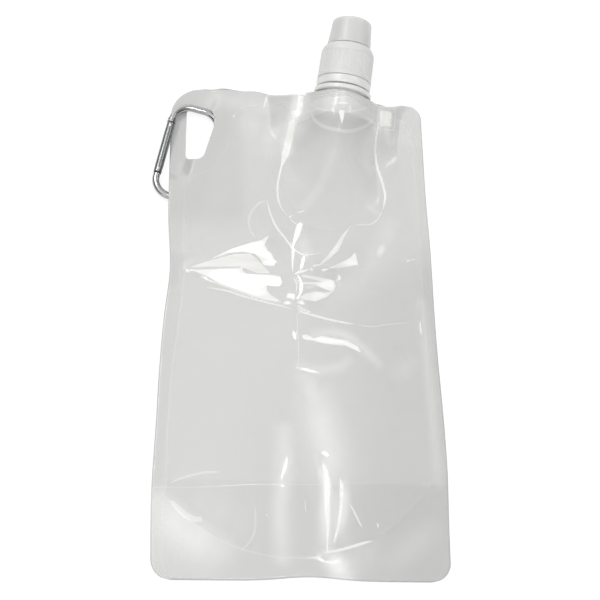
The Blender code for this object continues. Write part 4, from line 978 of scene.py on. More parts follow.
# %% Weld borders
TAB_BORDER = [
    (-17.5, 219.4), (-23.6, 218.3), (-26.8, 215.9), (-29.1, 213.0), (-29.5, 208.2), (-30.9, 200.6),
    (-33.1, 193.1), (-36.2, 187.1), (-39.7, 182.8), (-45.5, 179.9), (-48.6, 177.1), (-50.8, 173.4),
    (-51.1, 168.8), (-51.3, 150.0), (-50.4, 134.0), (-52.0, 110.0), (-54.4, 85.0), (-55.3, 60.0),
    (-55.2, 37.7),
]
FOOT_MIDDLE = (-3.0, 77.9)
FOOT_RADIUS = 68.6
FOOT_BORDER = [
    (FOOT_MIDDLE[0] + FOOT_RADIUS * math.sin(angle), FOOT_MIDDLE[1] - FOOT_RADIUS * math.cos(angle))
    for angle in np.radians(np.linspace(-50, 60, 45))
]
RIGHT_BORDER = [(56.6, 40.4), (57.3, 60.0), (56.6, 90.0), (55.8, 120.0), (55.6, 160.0),
                (55.0, 200.0), (54.0, 212.0), (46.8, 219.0)]
TOP_BORDER = [(-17.5, 219.4), (-8.0, 218.6), (-0.4, 214.0)]
TOP_WELD = [(-17.5, 219.4), (-8.0, 218.6), (-0.4, 206.0), (36.0, 206.0), (46.8, 219.0)]
GUSSET_LINE = [(-62.0, 36.8), (-41.7, 37.2), (-21.5, 38.5), (-1.0, 38.9), (19.7, 39.7),
               (62.0, 40.9)]


def weld_distance(x, y):
    """Distance to the nearest weld border, below 0 on the welded side."""
    tab = curve(TAB_BORDER)
    borders = (tab, FOOT_BORDER, RIGHT_BORDER, TOP_BORDER)
    far = np.min([path_distance(border, x, y)[0] for border in borders], axis=0)
    (tab_x, tab_y), (side_x, side_y) = np.array(tab[::-1]).T, np.array(RIGHT_BORDER).T
    welded = (x < np.interp(y, tab_y, tab_x)) | (x > np.interp(y, side_y, side_x))
    welded |= y < np.interp(x, *np.array(FOOT_BORDER).T)
    welded |= y > np.interp(x, *np.array(TOP_WELD).T)
    return np.where(welded, -far, far)


def embossed(x, y, edge):
    """1 where the welding bar has printed its fine diamonds."""
    foot = fall(y, 33, 37) * (edge < 0)
    left = foot * fall(x, -42, -30)
    right = foot * smooth(x, 8, 14) * fall(x, 26, 40)
    beside_spout = smooth(x, 44, 46) * smooth(y, 200, 206)
    side = 0.5 * smooth(x, 52, 55) * (edge < 0)
    return np.clip(left + 0.9 * right + beside_spout + side, 0, 1)


front_edge = weld_distance(front_x, front_y)
print("welded share:", round(float((front_edge < 0).mean()), 3))

# %% [markdown]
# Where the panels are welded, the back panel follows the front one. Elsewhere it lies as low as the
# pieces under it and the front panel allow.

# %% Back panel's heights
beside_base = smooth(np.abs(spout_place(front_x, front_y)[0]), FILM_HALF - 2, FILM_HALF + 1)
welded_share = smooth(-front_edge, -1, 2) * np.maximum(beside_base, fall(rows, 195, 203))
back_z = np.minimum(back_height(back_x, back_y), front_z - STEP)
back_z = back_z + welded_share * (front_z - STEP - back_z)
print("back film up to", round(float(back_z.max()), 2), "mm")

# %% [markdown]
# ## Cutting the hole of the tab
# The hole is a D with round corners. A Boolean on so fine a sheet is slow, so the faces inside the
# outline are left out, and the points next to it are drawn onto it.


# %% Hole of the tab
def round_outline(corners, count=8):
    """A closed outline with rounded corners, from (x, y, radius) counterclockwise."""
    points = []
    for index, (x, y, radius) in enumerate(corners):
        here = Vector((x, y))
        before = (Vector(corners[index - 1][:2]) - here).normalized()
        after = (Vector(corners[(index + 1) % len(corners)][:2]) - here).normalized()
        half = before.angle(after) / 2
        centre = here + (before + after).normalized() * (radius / math.sin(half))
        start = here + before * (radius / math.tan(half)) - centre
        end = here + after * (radius / math.tan(half)) - centre
        turn = start.angle_signed(end)
        for step in range(count + 1):
            angle = math.atan2(start.y, start.x) - turn * step / count
            dx, dy = radius * math.cos(angle), radius * math.sin(angle)
            points.append((centre.x + dx, centre.y + dy))
    return points


HOLE = round_outline([(-51.4, 188.0, 4.5), (-43.7, 188.0, 4.5), (-38.9, 205.6, 7.5),
                      (-38.9, 217.6, 8.0), (-51.4, 217.6, 3.5)])


def sheet_mesh(name, x, y, z, attributes, hole=None):
    """A sheet through a grid of points, with its attributes and, for a panel, its flat UV map."""
    grid = np.arange(x.size).reshape(x.shape)
    quads = [grid[:-1, :-1], grid[:-1, 1:], grid[1:, 1:], grid[1:, :-1]]
    quads = np.stack(quads, -1).reshape(-1, 4)
    whole_panel = x.shape == shares.shape
    x, y, z = [part.ravel() for part in (x, y, z)]
    if hole:
        within = inside(hole, x, y)
        quads = quads[~within[quads].all(axis=1)]
        near_x, near_y = path_distance(hole + hole[:1], x, y)[3]
        x = np.where(within, near_x, x)
        y = np.where(within, near_y, y)
    points = np.stack([x * MM + SHIFT.x, y * MM + SHIFT.y, z * MM], -1)
    used = np.unique(quads)
    index = np.full(len(points), -1)
    index[used] = np.arange(len(used))
    mesh = bpy.data.meshes.new(name)
    mesh.from_pydata(points[used].tolist(), [], index[quads].tolist())
    uv = mesh.uv_layers.new(name="flat")
    if whole_panel:
        corners = np.zeros(len(mesh.loops), int)
        mesh.loops.foreach_get("vertex_index", corners)
        flat = np.stack([shares.ravel() * WIDTH, rows.ravel()], -1) / LENGTH
        uv.data.foreach_set("uv", flat[used][corners].ravel().astype(np.float32))
    for label, values in attributes.items():
        data = mesh.attributes.new(label, "FLOAT", "POINT")
        data.data.foreach_set("value", values.ravel()[used].astype(np.float32))
    mesh.shade_smooth()
    return in_scene(name, mesh)


print("hole", len(HOLE), "points")

# %% [markdown]
# ## The film itself
# The laminate is milky rather than clear: one layer already hides a good part of what lies behind
# it. But it scatters light forward rather than stopping it, so its shadow is made much fainter
# with Is Shadow Ray, and Is Diffuse Ray lets the light between its folds pass. It is glossy on the
# outside, and a coat gives it the sharp mirror of a smooth film. Each film has two faces 0.25 mm
# apart, so the face that is seen from inside is made clear with Backfacing, or each film would be
# counted twice. Welds are a little denser and duller, and their diamonds are a bump from two
# crossed waves. The ribs of the weld base press fine ridges into the film, each with a painted pale
# line along it, the folded gusset leaves a line, and the bar leaves broken lines at the sides.
# Highlights along the creases and on the crumpled sheets, broad sheens and some shade are painted
# into the colour. A painted highlight along a crease is drawn with its own width from the
# distance across it, so it stays sharper than the grid.

# %% Film marks group
SEAL_LINES = (4.6, 113.6)
DIAMOND_WAVE = 5.2
RIB_WAVE = 2 * math.pi / 1.2
DASH_WAVE = 1.9
CREASE_FIELDS = ["across", "line_on", "sheet", "sheet_on"]
FILM_FIELDS = ["edge", "emboss", "fold", "rib", "on_base", *CREASE_FIELDS]


def socket_name(field):
    """on_base becomes On base."""
    return field.capitalize().replace("_", " ")


def film_group():
    """Marks of the welding bar and the fold, the film's haze, and painted crease highlights."""
    tree, start, end = group_tree(
        "film_marks",
        [("Flat place", VECTOR)] + [(socket_name(field), FLOAT) for field in FILM_FIELDS],
        [(name, FLOAT) for name in ("Weld", "Line", "Height", "Haze", "Print", "Whitened")],
    )
    plus, minus, times, most, least, wave, size = maths(
        tree, "ADD", "SUBTRACT", "MULTIPLY", "MAXIMUM", "MINIMUM", "SINE", "ABSOLUTE"
    )
    place, edge = start["Flat place"], start["Edge"]

    def line_at(value, half):
        """A soft ridge where a signed distance passes 0."""
        return spread(tree, size(value), 0.0, half, 1.0, 0.0)

    bead = line_at(plus(edge, 0.1), 0.8)
    fold = line_at(start["Fold"], 0.35)
    split = node(tree, "ShaderNodeSeparateXYZ", {0: place})
    flat_x, flat_y = [times(split.outputs[axis], LENGTH) for axis in (0, 1)]
    # broken seal lines along both sides of the foot
    dashes = spread(tree, wave(times(flat_y, DASH_WAVE)), -0.3, 0.1)
    low = spread(tree, flat_y, 8.0, 60.0, 1.0, 0.35)
    seals = plus(*[line_at(minus(flat_x, where), 0.4) for where in SEAL_LINES])
    seals = times(seals, times(dashes, low))
    # fine diamonds of the welding bar, and ridges over the ribs of the weld base
    waves = [wave(times(way(flat_x, flat_y), DIAMOND_WAVE)) for way in (plus, minus)]
    diamonds = times(most(*waves), start["Emboss"])
    ribs = times(wave(times(start["Rib"], RIB_WAVE)), start["On base"])
    # painted highlights along the creases and on the crumpled sheets
    painted_line_highlight = times(spread(tree, size(start["Across"]), 0.5, 1.2, 1.0, 0.0), start["Line on"])
    sheet = times(spread(tree, start["Sheet"], -0.12, 0.25), start["Sheet on"])
    streaks = node(tree, "ShaderNodeMapping", {"Vector": place, "Scale": (9.0, 60.0, 1.0)})
    streaks = noise(tree, streaks.outputs[0], 1.0, 3.0)
    sheet = times(sheet, spread(tree, streaks, 0.35, 0.6, 0.8, 1.0))
    depths = [
        (diamonds, 0.035), (bead, 0.035), (fold, 0.03), (seals, 0.05), (ribs, 0.16),
        (noise(tree, place, 26.0, 2.0), 0.12), (painted_line_highlight, 0.04),
    ]
    height, *rest = [times(value, depth) for value, depth in depths]
    for part in rest:
        height = plus(height, part)
    # pale lines of the weld bead, the fold and the seals, and a painted highlight along the rib
    # ridges
    lines = bead
    for value, share in ((fold, 2.2), (seals, 2.0), (ribs, 1.2)):
        lines = most(lines, times(value, share))
    fill(tree, end, {
        "Weld": spread(tree, edge, -0.35, 0.25, 1.0, 0.0),
        "Line": least(lines, 2.5),
        "Height": height,
        "Haze": noise(tree, place, 5.0, 3.0),
        "Print": times(most(diamonds, 0.0), 1.0, clamp=True),
        "Whitened": most(painted_line_highlight, sheet),
    })
    return tree


FILM_MARKS = film_group()
print("group:", FILM_MARKS.name, len(FILM_MARKS.nodes), "nodes")

# %% Film material
FILM_SCATTER = 0.72
LINE_COLOUR = (0.86, 0.86, 0.85)
# colour of the broad painted sheen, then that of the painted highlights
PAINTED_SHEEN_COLOUR = (0.90, 0.90, 0.89)
PAINTED_HIGHLIGHT_COLOUR = (0.97, 0.965, 0.93)


def film_material(name, alpha, weld_alpha, colour=(0.655, 0.655, 0.648)):
    """The hazy laminate of the panels and the gusset."""
    made, tree, shader = new_material(name)
    plus, minus, times, most = maths(tree, "ADD", "SUBTRACT", "MULTIPLY", "MAXIMUM")

    def field(label):
        """One attribute of the film."""
        return node(tree, "ShaderNodeAttribute", attribute_name=label).outputs["Fac"]

    values = {socket_name(label): field(label) for label in FILM_FIELDS}
    values["Flat place"] = node(tree, "ShaderNodeUVMap", uv_map="flat").outputs[0]
    marks = node(tree, "ShaderNodeGroup", values, node_tree=FILM_MARKS).outputs
    soft, dull = field("soft"), field("dull")
    # the third of these colours is painted shade, a darker copy of the film's colour
    darker, lighter, painted_shade = [[c * change for c in colour] for change in (0.97, 1.03, 0.85)]
    tone = mixed(tree, marks["Haze"], darker, lighter)
    # pale lines and the bar's print; on the rib ridges the pale line is a painted highlight
    lined = most(times(marks["Line"], 0.22), times(marks["Print"], 0.4))
    # Pale lines, painted shade, painted sheen and painted highlights are mixed into the colour in
    # turn.
    changes = [(lined, LINE_COLOUR), (field("painted_shade"), painted_shade), (soft, PAINTED_SHEEN_COLOUR)]
    for share, towards in (*changes, (marks["Whitened"], PAINTED_HIGHLIGHT_COLOUR)):
        tone = mixed(tree, share, tone, towards)
    rough = plus(times(marks["Weld"], 0.10), times(dull, 0.5))
    dense = plus(times(marks["Weld"], weld_alpha - alpha), alpha)
    covered = most(most(marks["Whitened"], soft), field("hiding"))
    dense = plus(dense, times(times(minus(1.0, dense), 0.92), covered))
    facing = node(tree, "ShaderNodeNewGeometry").outputs["Backfacing"]
    rays = node(tree, "ShaderNodeLightPath").outputs
    shadow = most(rays["Is Shadow Ray"], rays["Is Diffuse Ray"])
    dense = times(times(dense, minus(1.0, facing)), minus(1.0, times(shadow, FILM_SCATTER)))
    fill(tree, shader, {
        "Base Color": tone,
        "Roughness": plus(rough, 0.09),
        "Coat Weight": times(minus(1.0, dull), 0.25),
        "Alpha": dense,
        "Normal": bumped(tree, marks["Height"], 0.9, 1 * MM),
        "IOR": 1.55,
        "Specular IOR Level": 0.35,
        "Coat Roughness": 0.06,
        "Coat IOR": 1.5,
    })
    return made


PANEL_FILM = film_material("panel_film", 0.66, 0.82)
GUSSET_FILM = film_material("gusset_film", 0.07, 0.07, (0.8, 0.8, 0.8))
print("film:", PANEL_FILM.name)

# %% [markdown]
# ## The two panels
# Each panel is one continuous sheet from the foot to the top edge, across the crease where the
# flask folds. It takes the place of the two imported halves of its film.


def panel(side, x, y, z, fields):
    """One panel as a single sheet across the fold."""
    edge = weld_distance(x, y)
    across, along = spout_place(x, y)
    marks = {
        "rib": along / math.cos(TILT),
        "on_base": smooth(along, 2.5, 4) * fall(np.abs(across), 13, 17),
        "edge": edge,
        "emboss": embossed(x, y, edge),
        "fold": y - np.interp(x, *np.array(GUSSET_LINE).T),
        **fields,
    }
    made = sheet_mesh(side + "_panel", x, y, z, marks, HOLE)
    made.data.materials.append(PANEL_FILM)
    wall = made.modifiers.new("Film thickness", "SOLIDIFY")
    wall.thickness = FILM * MM
    wall.offset = 0.0
    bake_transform(made)
    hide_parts(side + "_film_lower", side + "_film_upper")
    return made


back_panel = panel("back", back_x, back_y, back_z, {})
front_fields = painted_highlight_fields(front_x, front_y)
front_panel = panel("front", front_x, front_y, front_z, front_fields)
print("panels:", len(front_panel.data.polygons), "faces each")

# %% [markdown]
# ## Bottom gusset
# A third film is folded in between the panels at the foot. It runs in along the back panel, turns
# round its fold and comes out again under the front panel. When the pouch is filled, it opens and
# the flask stands on it.

# %% Gusset
GUSSET_COLUMNS = 101
GUSSET_ROWS = 40


def gusset_sheet():
    """The folded film between the panels."""
    low = FILM / 2 + STEP
    bend = (GUSSET_OPENING + FILM) / 2
    share = np.linspace(0, 1, GUSSET_COLUMNS)
    flat = np.full(GUSSET_COLUMNS, 1.0)
    lines = []
    for row in np.linspace(0, GUSSET, GUSSET_ROWS):
        lines.append((*panel_place(share, row * flat, -1), low * flat))
    for angle in np.radians((30, 60, 90, 120, 150)):
        x, y = panel_place(share, GUSSET * flat, -1)
        height = low + bend - bend * math.cos(angle)
        lines.append((x, y + bend * math.sin(angle), height * flat))
    for row in np.linspace(0, GUSSET, GUSSET_ROWS)[::-1]:
        x, y = panel_place(share, row * flat, 1)
        puff = back_height(x, y) + front_gap(x, y, row * flat) - FILM / 2 - 3 * STEP - 2 * bend
        height = low + 2 * bend + np.maximum(puff, 0.0) * fall(y, GUSSET - 14, GUSSET)
        lines.append((x, y, height))
    return [np.array(part) for part in zip(*lines)]


gusset_x, gusset_y, gusset_z = gusset_sheet()
unmarked = {"edge": 9.0, "emboss": 0.0, "fold": 9.0, "rib": 0.0, "on_base": 0.0}
unmarked = {label: np.full(gusset_x.shape, value) for label, value in unmarked.items()}
gusset = sheet_mesh("gusset_film", gusset_x, gusset_y, gusset_z, unmarked)
gusset.data.materials.append(GUSSET_FILM)
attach(gusset, "lower_pouch")
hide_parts("bottom_gusset")
print("gusset:", len(gusset.data.polygons), "faces")

# %% [markdown]
# ## Turned pieces of the spout
# Neck, ring, cap, nozzle and cover are all round about one axis. Each is a profile that the Screw
# modifier turns. Its corners are rounded first, because real mouldings have no knife edges and a
# round edge is what catches the light.

# %% Spout frame
AXIS_POINT = 25.0
cap_joint = next(joint for joint in frame["joints"] if joint["name"] == "cap_turn")
axis = Vector(cap_joint["axis"])
foot = Vector(cap_joint["pos_m"]) - axis * (AXIS_POINT * MM)
side = Vector((math.cos(LEAN), -math.sin(LEAN), 0.0))
up = axis.cross(side)
SPOUT = Matrix.Translation(foot) @ Matrix((side, up, axis)).transposed().to_4x4()
print("spout foot", [round(value / MM, 1) for value in foot])


# %% Outlines
def arc(centre, radii, start, end, count):
    """Points along an arc of a circle or an ellipse, from one angle to another in degrees."""
    angles = [math.radians(start + (end - start) * step / count) for step in range(count + 1)]
    (x, y), (wide, tall) = centre, radii
    return [(x + wide * math.cos(angle), y + tall * math.sin(angle)) for angle in angles]


def rounded(points, radius, count=4):
    """A profile with its inner corners rounded by arcs."""
    out = [points[0]]
    for before, here, after in zip(points, points[1:], points[2:]):
        a, b, c = Vector(before), Vector(here), Vector(after)
        into, away = (a - b), (c - b)
        reach = min(radius, into.length * 0.45, away.length * 0.45)
        start = b + into.normalized() * reach
        end = b + away.normalized() * reach
        for step in range(count + 1):
            share = step / count
            point = start * (1 - share) ** 2 + b * (2 * share * (1 - share)) + end * share**2
            out.append((point.x, point.y))
    out.append(points[-1])
    return out


def helix(radius, start, turns, pitch=3.2, count=40):
    """Points of a right-hand screw thread, its ends sunk into the wall."""
    points = []
    total = int(count * turns)
    for index in range(total + 1):
        angle = 2 * math.pi * turns * index / total
        far = radius - 0.8 * (1 - min(index, total - index, 6) / 6)
        height = start + pitch * turns * index / total
        points.append((far * math.cos(angle), far * math.sin(angle), height))
    return points


print("a quarter arc:", len(arc((0, 0), (1, 1), 0, 90, 18)), "points")


# %% Meshes from outlines
MERGE = 0.001


def evaluated_mesh(made, name):
    """The mesh that an object's modifiers or curve settings give, with the object removed."""
    bpy.context.view_layer.update()
    graph = bpy.context.evaluated_depsgraph_get()
    mesh = bpy.data.meshes.new_from_object(made.evaluated_get(graph))
    mesh.name = name
    bpy.data.objects.remove(made)
    return mesh


def written(shape, mesh):
    """Writes an edited shape into a mesh and frees it."""
    shape.to_mesh(mesh)
    shape.free()
    return mesh


def tidy(mesh, merge):
    """Merges doubles and turns every face outwards."""
    shape = bmesh.new()
    shape.from_mesh(mesh)
    bmesh.ops.remove_doubles(shape, verts=shape.verts, dist=merge * MM)
    bmesh.ops.recalc_face_normals(shape, faces=shape.faces)
    return written(shape, mesh)


def turned_mesh(name, profile, steps=120, closed=False):
    """A solid turned about the local Z axis from points of radius and height."""
    mesh = bpy.data.meshes.new(name)
    edges = [(index, index + 1) for index in range(len(profile) - 1)]
    if closed:
        edges.append((len(profile) - 1, 0))
    mesh.from_pydata([(radius * MM, 0.0, height * MM) for radius, height in profile], edges, [])
    guide = in_scene(name, mesh)
    screw = guide.modifiers.new("Turn", "SCREW")
    screw.axis = "Z"
    screw.steps = screw.render_steps = steps
    screw.use_merge_vertices = True
    screw.merge_threshold = 2 * MERGE * MM
    return tidy(evaluated_mesh(guide, name), MERGE)


def tube_mesh(name, points, radius, roundness):
    """A round wire along points, with closed ends."""
    data = bpy.data.curves.new(name, "CURVE")
    data.dimensions = "3D"
    data.bevel_depth = radius * MM
    data.bevel_resolution = roundness
    data.use_fill_caps = True
    spline = data.splines.new("POLY")
    spline.points.add(len(points) - 1)
    for point, where in zip(spline.points, points):
        point.co = (*[value * MM for value in where], 1.0)
    return tidy(evaluated_mesh(in_scene(name, data), name), 2 * MERGE)


def skin(shape, low, high):
    """Faces between two closed rings of points."""
    for index in range(len(low)):
        after = (index + 1) % len(low)
        shape.faces.new((low[index], low[after], high[after], high[index]))


def joined(name, meshes):
    """One mesh out of several."""
    shape = bmesh.new()
    for mesh in meshes:
        shape.from_mesh(mesh)
    return written(shape, bpy.data.meshes.new(name))


def place(name, mesh, matrix, look, body, replaced, slot, angle=32):
    """Puts a finished mesh in its place and makes it ride on its body."""
    mesh.transform(matrix)
    mesh.materials.clear()
    mesh.materials.append(look)
    mesh.shade_smooth()
    mesh.set_sharp_from_angle(angle=math.radians(angle))
    made = in_scene(name, mesh)
    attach(made, body)
    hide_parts(replaced)
    print(name + ":", len(mesh.polygons), "faces")
    return made


print("points closer than", MERGE, "mm are merged")

# %% [markdown]
# ## Spout fitment
# The fitment is one moulding: a boat-shaped base with ribs for the weld, a flange, a bead that
# holds the tamper ring, and the neck with its thread. The base is a stack of lens sections, drawn
# in at the grooves. It is open below, so that the last water runs out.

# %% Spout fitment
NECK = 9.4
BORE = 7.8
NECK_TOP = 29.0
THREAD = 0.7
GROOVE = 0.55
BASE_WALL = 1.1
BASE_HOLLOW = 3.2
BASE_POINTS = 36


def boat_mesh():
    """The ribbed weld base with its open foot."""
    pitch = WELD_LENGTH / (2 * WELD_RIBS - 1)
    levels = [(0.0, 0.35), (0.35, 0.0)]
    for rib in range(WELD_RIBS - 1):
        start = pitch * (2 * rib + 1)
        levels += [(start - 0.25, 0.0), (start, 0.15), (start + 0.3 * pitch, GROOVE)]
        start += pitch
        levels += [(start - 0.3 * pitch, GROOVE), (start, 0.15), (start + 0.25, 0.0)]
    levels += [(WELD_LENGTH - 0.3, 0.0), (WELD_LENGTH, 0.3)]
    shape = bmesh.new()

    def ring(height, drawn_in):
        """The points of one lens section."""
        half_width = WELD_WIDTH - drawn_in
        half_rise = WELD_THICKNESS - drawn_in
        top = []
        for step in range(BASE_POINTS + 1):
            across = -half_width * math.cos(math.pi * step / BASE_POINTS)
            top.append((across, half_rise * math.cos(math.pi * across / (2 * half_width))))
        bottom = [(x, -y) for x, y in reversed(top[1:-1])]
        return [shape.verts.new((x * MM, y * MM, height * MM)) for x, y in top + bottom]

    rings = [ring(*level) for level in levels]
    for low, high in zip(rings, rings[1:]):
        skin(shape, low, high)
    shape.faces.new(rings[-1])
    mouth, end = ring(0.0, BASE_WALL), ring(BASE_HOLLOW, BASE_WALL + 0.2)
    skin(shape, mouth, rings[0])
    skin(shape, end, mouth)
    shape.faces.new(end)
    bmesh.ops.recalc_face_normals(shape, faces=shape.faces)
    return written(shape, bpy.data.meshes.new("boat"))


neck_profile = [
    (BORE, NECK_TOP), (NECK, NECK_TOP), (NECK, 16.8), (NECK + 1.0, 16.4), (NECK + 1.0, 16.0),
    (NECK, 16.0), (NECK, 12.8), (12.7, 12.8), (13.2, 12.4), (13.2, 10.6), (10.2, 10.6), (10.2, 9.2),
    (BORE, 9.2),
]
neck_mesh = turned_mesh("neck", rounded(neck_profile, 0.3), closed=True)
neck_thread = tube_mesh("thread", helix(NECK + 0.35, 20.0, 1.75), THREAD, 2)
fitment_mesh = joined("spout_fitment_body", [neck_mesh, boat_mesh(), neck_thread])
place("spout_fitment_body", fitment_mesh, SPOUT, SPOUT_PLASTIC, "upper_pouch", "spout_fitment",
      "spout_plastic")

# %% [markdown]
# ## Blocks round a ring
# Grip ribs on a cap and the torn bridges of a tamper ring are the same thing: one small block
# repeated round a circle. A Geometry Nodes tree makes both. Its inputs are the number, the radius,
# the height and the size of a block, and it ends by making real faces with a material.


# %% Ring of blocks tree
def ring_tree():
    """Instances of a small rounded bar round a circle, joined to the incoming mesh."""
    geometry = ("Geometry", "NodeSocketGeometry")
    tree, start, end = group_tree(
        "ring_of_bars",
        [geometry, ("Number", "NodeSocketInt"), ("Circle radius", FLOAT), ("Middle height", FLOAT),
         ("Bar radius", FLOAT), ("Bar length", FLOAT), ("Lean inwards", FLOAT),
         ("Finish", "NodeSocketMaterial")],
        [geometry],
        "GeometryNodeTree",
    )
    sizes = {"Vertices": start["Number"], "Radius": start["Circle radius"]}
    circle = node(tree, "GeometryNodeMeshCircle", sizes)
    sizes = {"Vertices": 10, "Radius": start["Bar radius"], "Depth": start["Bar length"]}
    bar = node(tree, "GeometryNodeMeshCylinder", sizes)
    where = node(tree, "GeometryNodeInputPosition").outputs[0]
    turn = node(
        tree, "FunctionNodeAlignRotationToVector", {"Vector": where}, axis="X", pivot_axis="Z"
    )
    lean = node(tree, "ShaderNodeCombineXYZ", {"Y": start["Lean inwards"]})
    lean = node(tree, "FunctionNodeEulerToRotation", {0: lean.outputs[0]})
    turns = {"Rotation": turn.outputs[0], "Rotate By": lean.outputs[0]}
    turn = node(tree, "FunctionNodeRotateRotation", turns, rotation_space="LOCAL").outputs[0]
    copies = {"Points": circle.outputs[0], "Instance": bar.outputs["Mesh"], "Rotation": turn}
    bars = node(tree, "GeometryNodeInstanceOnPoints", copies)
    lift = node(tree, "ShaderNodeCombineXYZ", {"Z": start["Middle height"]})
    lifts = {"Geometry": bars.outputs[0], "Translation": lift.outputs[0]}
    raised = node(tree, "GeometryNodeTransform", lifts)
    join = node(tree, "GeometryNodeJoinGeometry")
    for part in (raised.outputs[0], start["Geometry"]):
        tree.links.new(part, join.inputs[0])
    real = node(tree, "GeometryNodeRealizeInstances", {0: join.outputs[0]})
    finishes = {"Geometry": real.outputs[0], "Material": start["Finish"]}
    fill(tree, end, {0: node(tree, "GeometryNodeSetMaterial", finishes).outputs[0]})
    return tree


RING_TREE = ring_tree()


def with_bars(mesh, **values):
    """A mesh with a ring of bars added by the tree."""
    guide = in_scene("guide", mesh)
    modifier = guide.modifiers.new("Bars", "NODES")
    modifier.node_group = RING_TREE
    for item in RING_TREE.interface.items_tree:
        label = item.name.replace(" ", "_")
        if item.in_out == "INPUT" and label in values:
            modifier[item.identifier] = values[label]
    return evaluated_mesh(guide, mesh.name)


print("tree:", RING_TREE.name, len(RING_TREE.nodes), "nodes")

# %% [markdown]
# ## Tamper ring
# Before the first opening, thin bridges hold this ring to the cap. They tear when the cap is first
# turned, and their stubs stay on the ring's upper rim.

# %% Tamper ring
RING_FOOT = 13.6
RING_TOP = 17.4
CAP_RADIUS = 12.5
STUBS = 12
ring_profile = [
    (10.9, RING_TOP), (CAP_RADIUS, RING_TOP), (CAP_RADIUS + 0.02, RING_FOOT + 1.0),
    (CAP_RADIUS - 0.1, RING_FOOT), (10.9, RING_FOOT), (10.0, RING_FOOT + 0.6),
    (10.0, RING_FOOT + 1.5), (10.9, RING_FOOT + 2.1), (10.9, RING_TOP - 0.1),
]
ring_mesh = with_bars(
    turned_mesh("tamper_ring_body", rounded(ring_profile, 0.35), closed=True),
    Number=STUBS,
    Circle_radius=11.9 * MM,
    Middle_height=RING_TOP * MM,
    Bar_radius=0.32 * MM,
    Bar_length=0.4 * MM,
    Lean_inwards=0.0,
    Finish=SPOUT_PLASTIC,
)
place("tamper_ring_body", ring_mesh, SPOUT, SPOUT_PLASTIC, "tamper_ring", "tamper_ring",
      "spout_plastic")

# %% [markdown]
# ## Screw cap
# The cap has a skirt with fine ribs for the fingers, a plain lower rim and a round shoulder. Inside
# stand the thread and the chimney that carries the nozzle. The body is turned, and the tree adds
# the ribs, which lean with the skirt's taper.

# %% Screw cap
CAP_FOOT = RING_TOP + 0.18
CAP_BORE = CAP_RADIUS - 1.4
SKIRT_TOP = 29.8
RIBS = 80
RIM = 1.7
cap_profile = [
    (0.0, 41.6), (1.6, 41.6), (1.6, 39.6), (4.9, 39.6), (4.9, 32.8), (7.6, 32.8), (7.6, 36.6),
    (8.6, 36.6), (8.6, 34.15), *arc((9.8, SKIRT_TOP), (2.5, 4.3), 90, 0, 6),
    (12.12, SKIRT_TOP - 0.3), (12.22, CAP_FOOT + RIM + 0.3), (CAP_RADIUS, CAP_FOOT + RIM - 0.1),
    (CAP_RADIUS, CAP_FOOT), (CAP_BORE, CAP_FOOT), (CAP_BORE, 30.6), (3.3, 30.6), (3.3, 38.4),
    (0.0, 38.4),
]
rib_length = SKIRT_TOP - CAP_FOOT - RIM
cap_turned = turned_mesh("cap_turned", rounded(cap_profile, 0.25), 144)
cap_thread = tube_mesh("cap_thread", helix(CAP_BORE - 0.35, 21.6, 1.5), THREAD, 2)
cap_mesh = with_bars(
    joined("cap_body", [cap_turned, cap_thread]),
    Number=RIBS,
    Circle_radius=12.03 * MM,
    Middle_height=(CAP_FOOT + RIM + rib_length / 2) * MM,
    Bar_radius=0.29 * MM,
    Bar_length=rib_length * MM,
    Lean_inwards=-math.atan2(0.1, rib_length),
    Finish=CAP_PLASTIC,
)
place("cap_body", cap_mesh, SPOUT, CAP_PLASTIC, "screw_cap", "screw_cap", "cap_plastic")

# %% [markdown]
# ## Pull nozzle and dust cover
# The nozzle slides on the chimney. Its lip is pulled up with the teeth to drink. The frosted cover
# is a thin cup pushed over the cap's boss, so the nozzle shows through it as a faint darker shape.

# %% Nozzle and cover
nozzle_profile = [
    (1.95, 41.6), (4.1, 41.6), (4.45, 41.2), (7.05, 40.0), (7.1, 39.1), (6.6, 38.6), (6.6, 34.4),
    (5.2, 34.4), (5.2, 40.0), (1.9, 40.0),
]
nozzle_mesh = turned_mesh("nozzle_body", rounded(nozzle_profile, 0.4), 96, closed=True)
place("nozzle_body", nozzle_mesh, SPOUT, NOZZLE_PLASTIC, "pull_nozzle", "pull_nozzle",
      "nozzle_plastic")
cover_bend = [
    (0.1, 47.2), (9.05, 47.2), (10.1, 34.9), (10.1, 34.4), (9.0, 34.4), (8.9, 36.6), (8.15, 45.8),
    (7.6, 46.3), (0.1, 46.3),
]
cover_profile = [(0.0, 47.2), *rounded(cover_bend, 1.4, 8), (0.0, 46.3)]
place("cover_body", turned_mesh("cover_body", cover_profile, 128), SPOUT, COVER_PLASTIC,
      "dust_cover", "dust_cover", "clear_plastic", angle=50)


def refinish(name, look):
    """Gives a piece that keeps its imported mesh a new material."""
    kept = frame["nodes"][name].data.materials
    kept.clear()
    kept.append(look)


refinish("cap_liner", LINER_FOAM)

# %% [markdown]
# ## Snap hook
# The hook is one piece of wire, bent to a D with its gap on the left. At the gap's upper end sit a
# collar and a hooked tongue that catches the gate's cross pin. The gate is a tube with a slot at
# each end, and it turns on a rivet.

# %% Hook frame
RING = Matrix.Translation((RING_X * MM + SHIFT.x, RING_Y * MM + SHIFT.y, RING_Z * MM)) @ RING_TURN
BEND_X = RING_WIDE - RING_BEND
BEND_Y = RING_LONG - RING_BEND
HINGE_Y = 3.2 - BEND_Y
NOSE_Y = BEND_Y - 2.4
GATE_FOOT = HINGE_Y - 1.5
GATE_TIP = NOSE_Y - 0.3
LATCH_Y = NOSE_Y - 2.0
FOOT_PLAY = 0.65
SPINE_OUT = 1.2
TONGUE_HALF = 0.45
EYE = 1.4


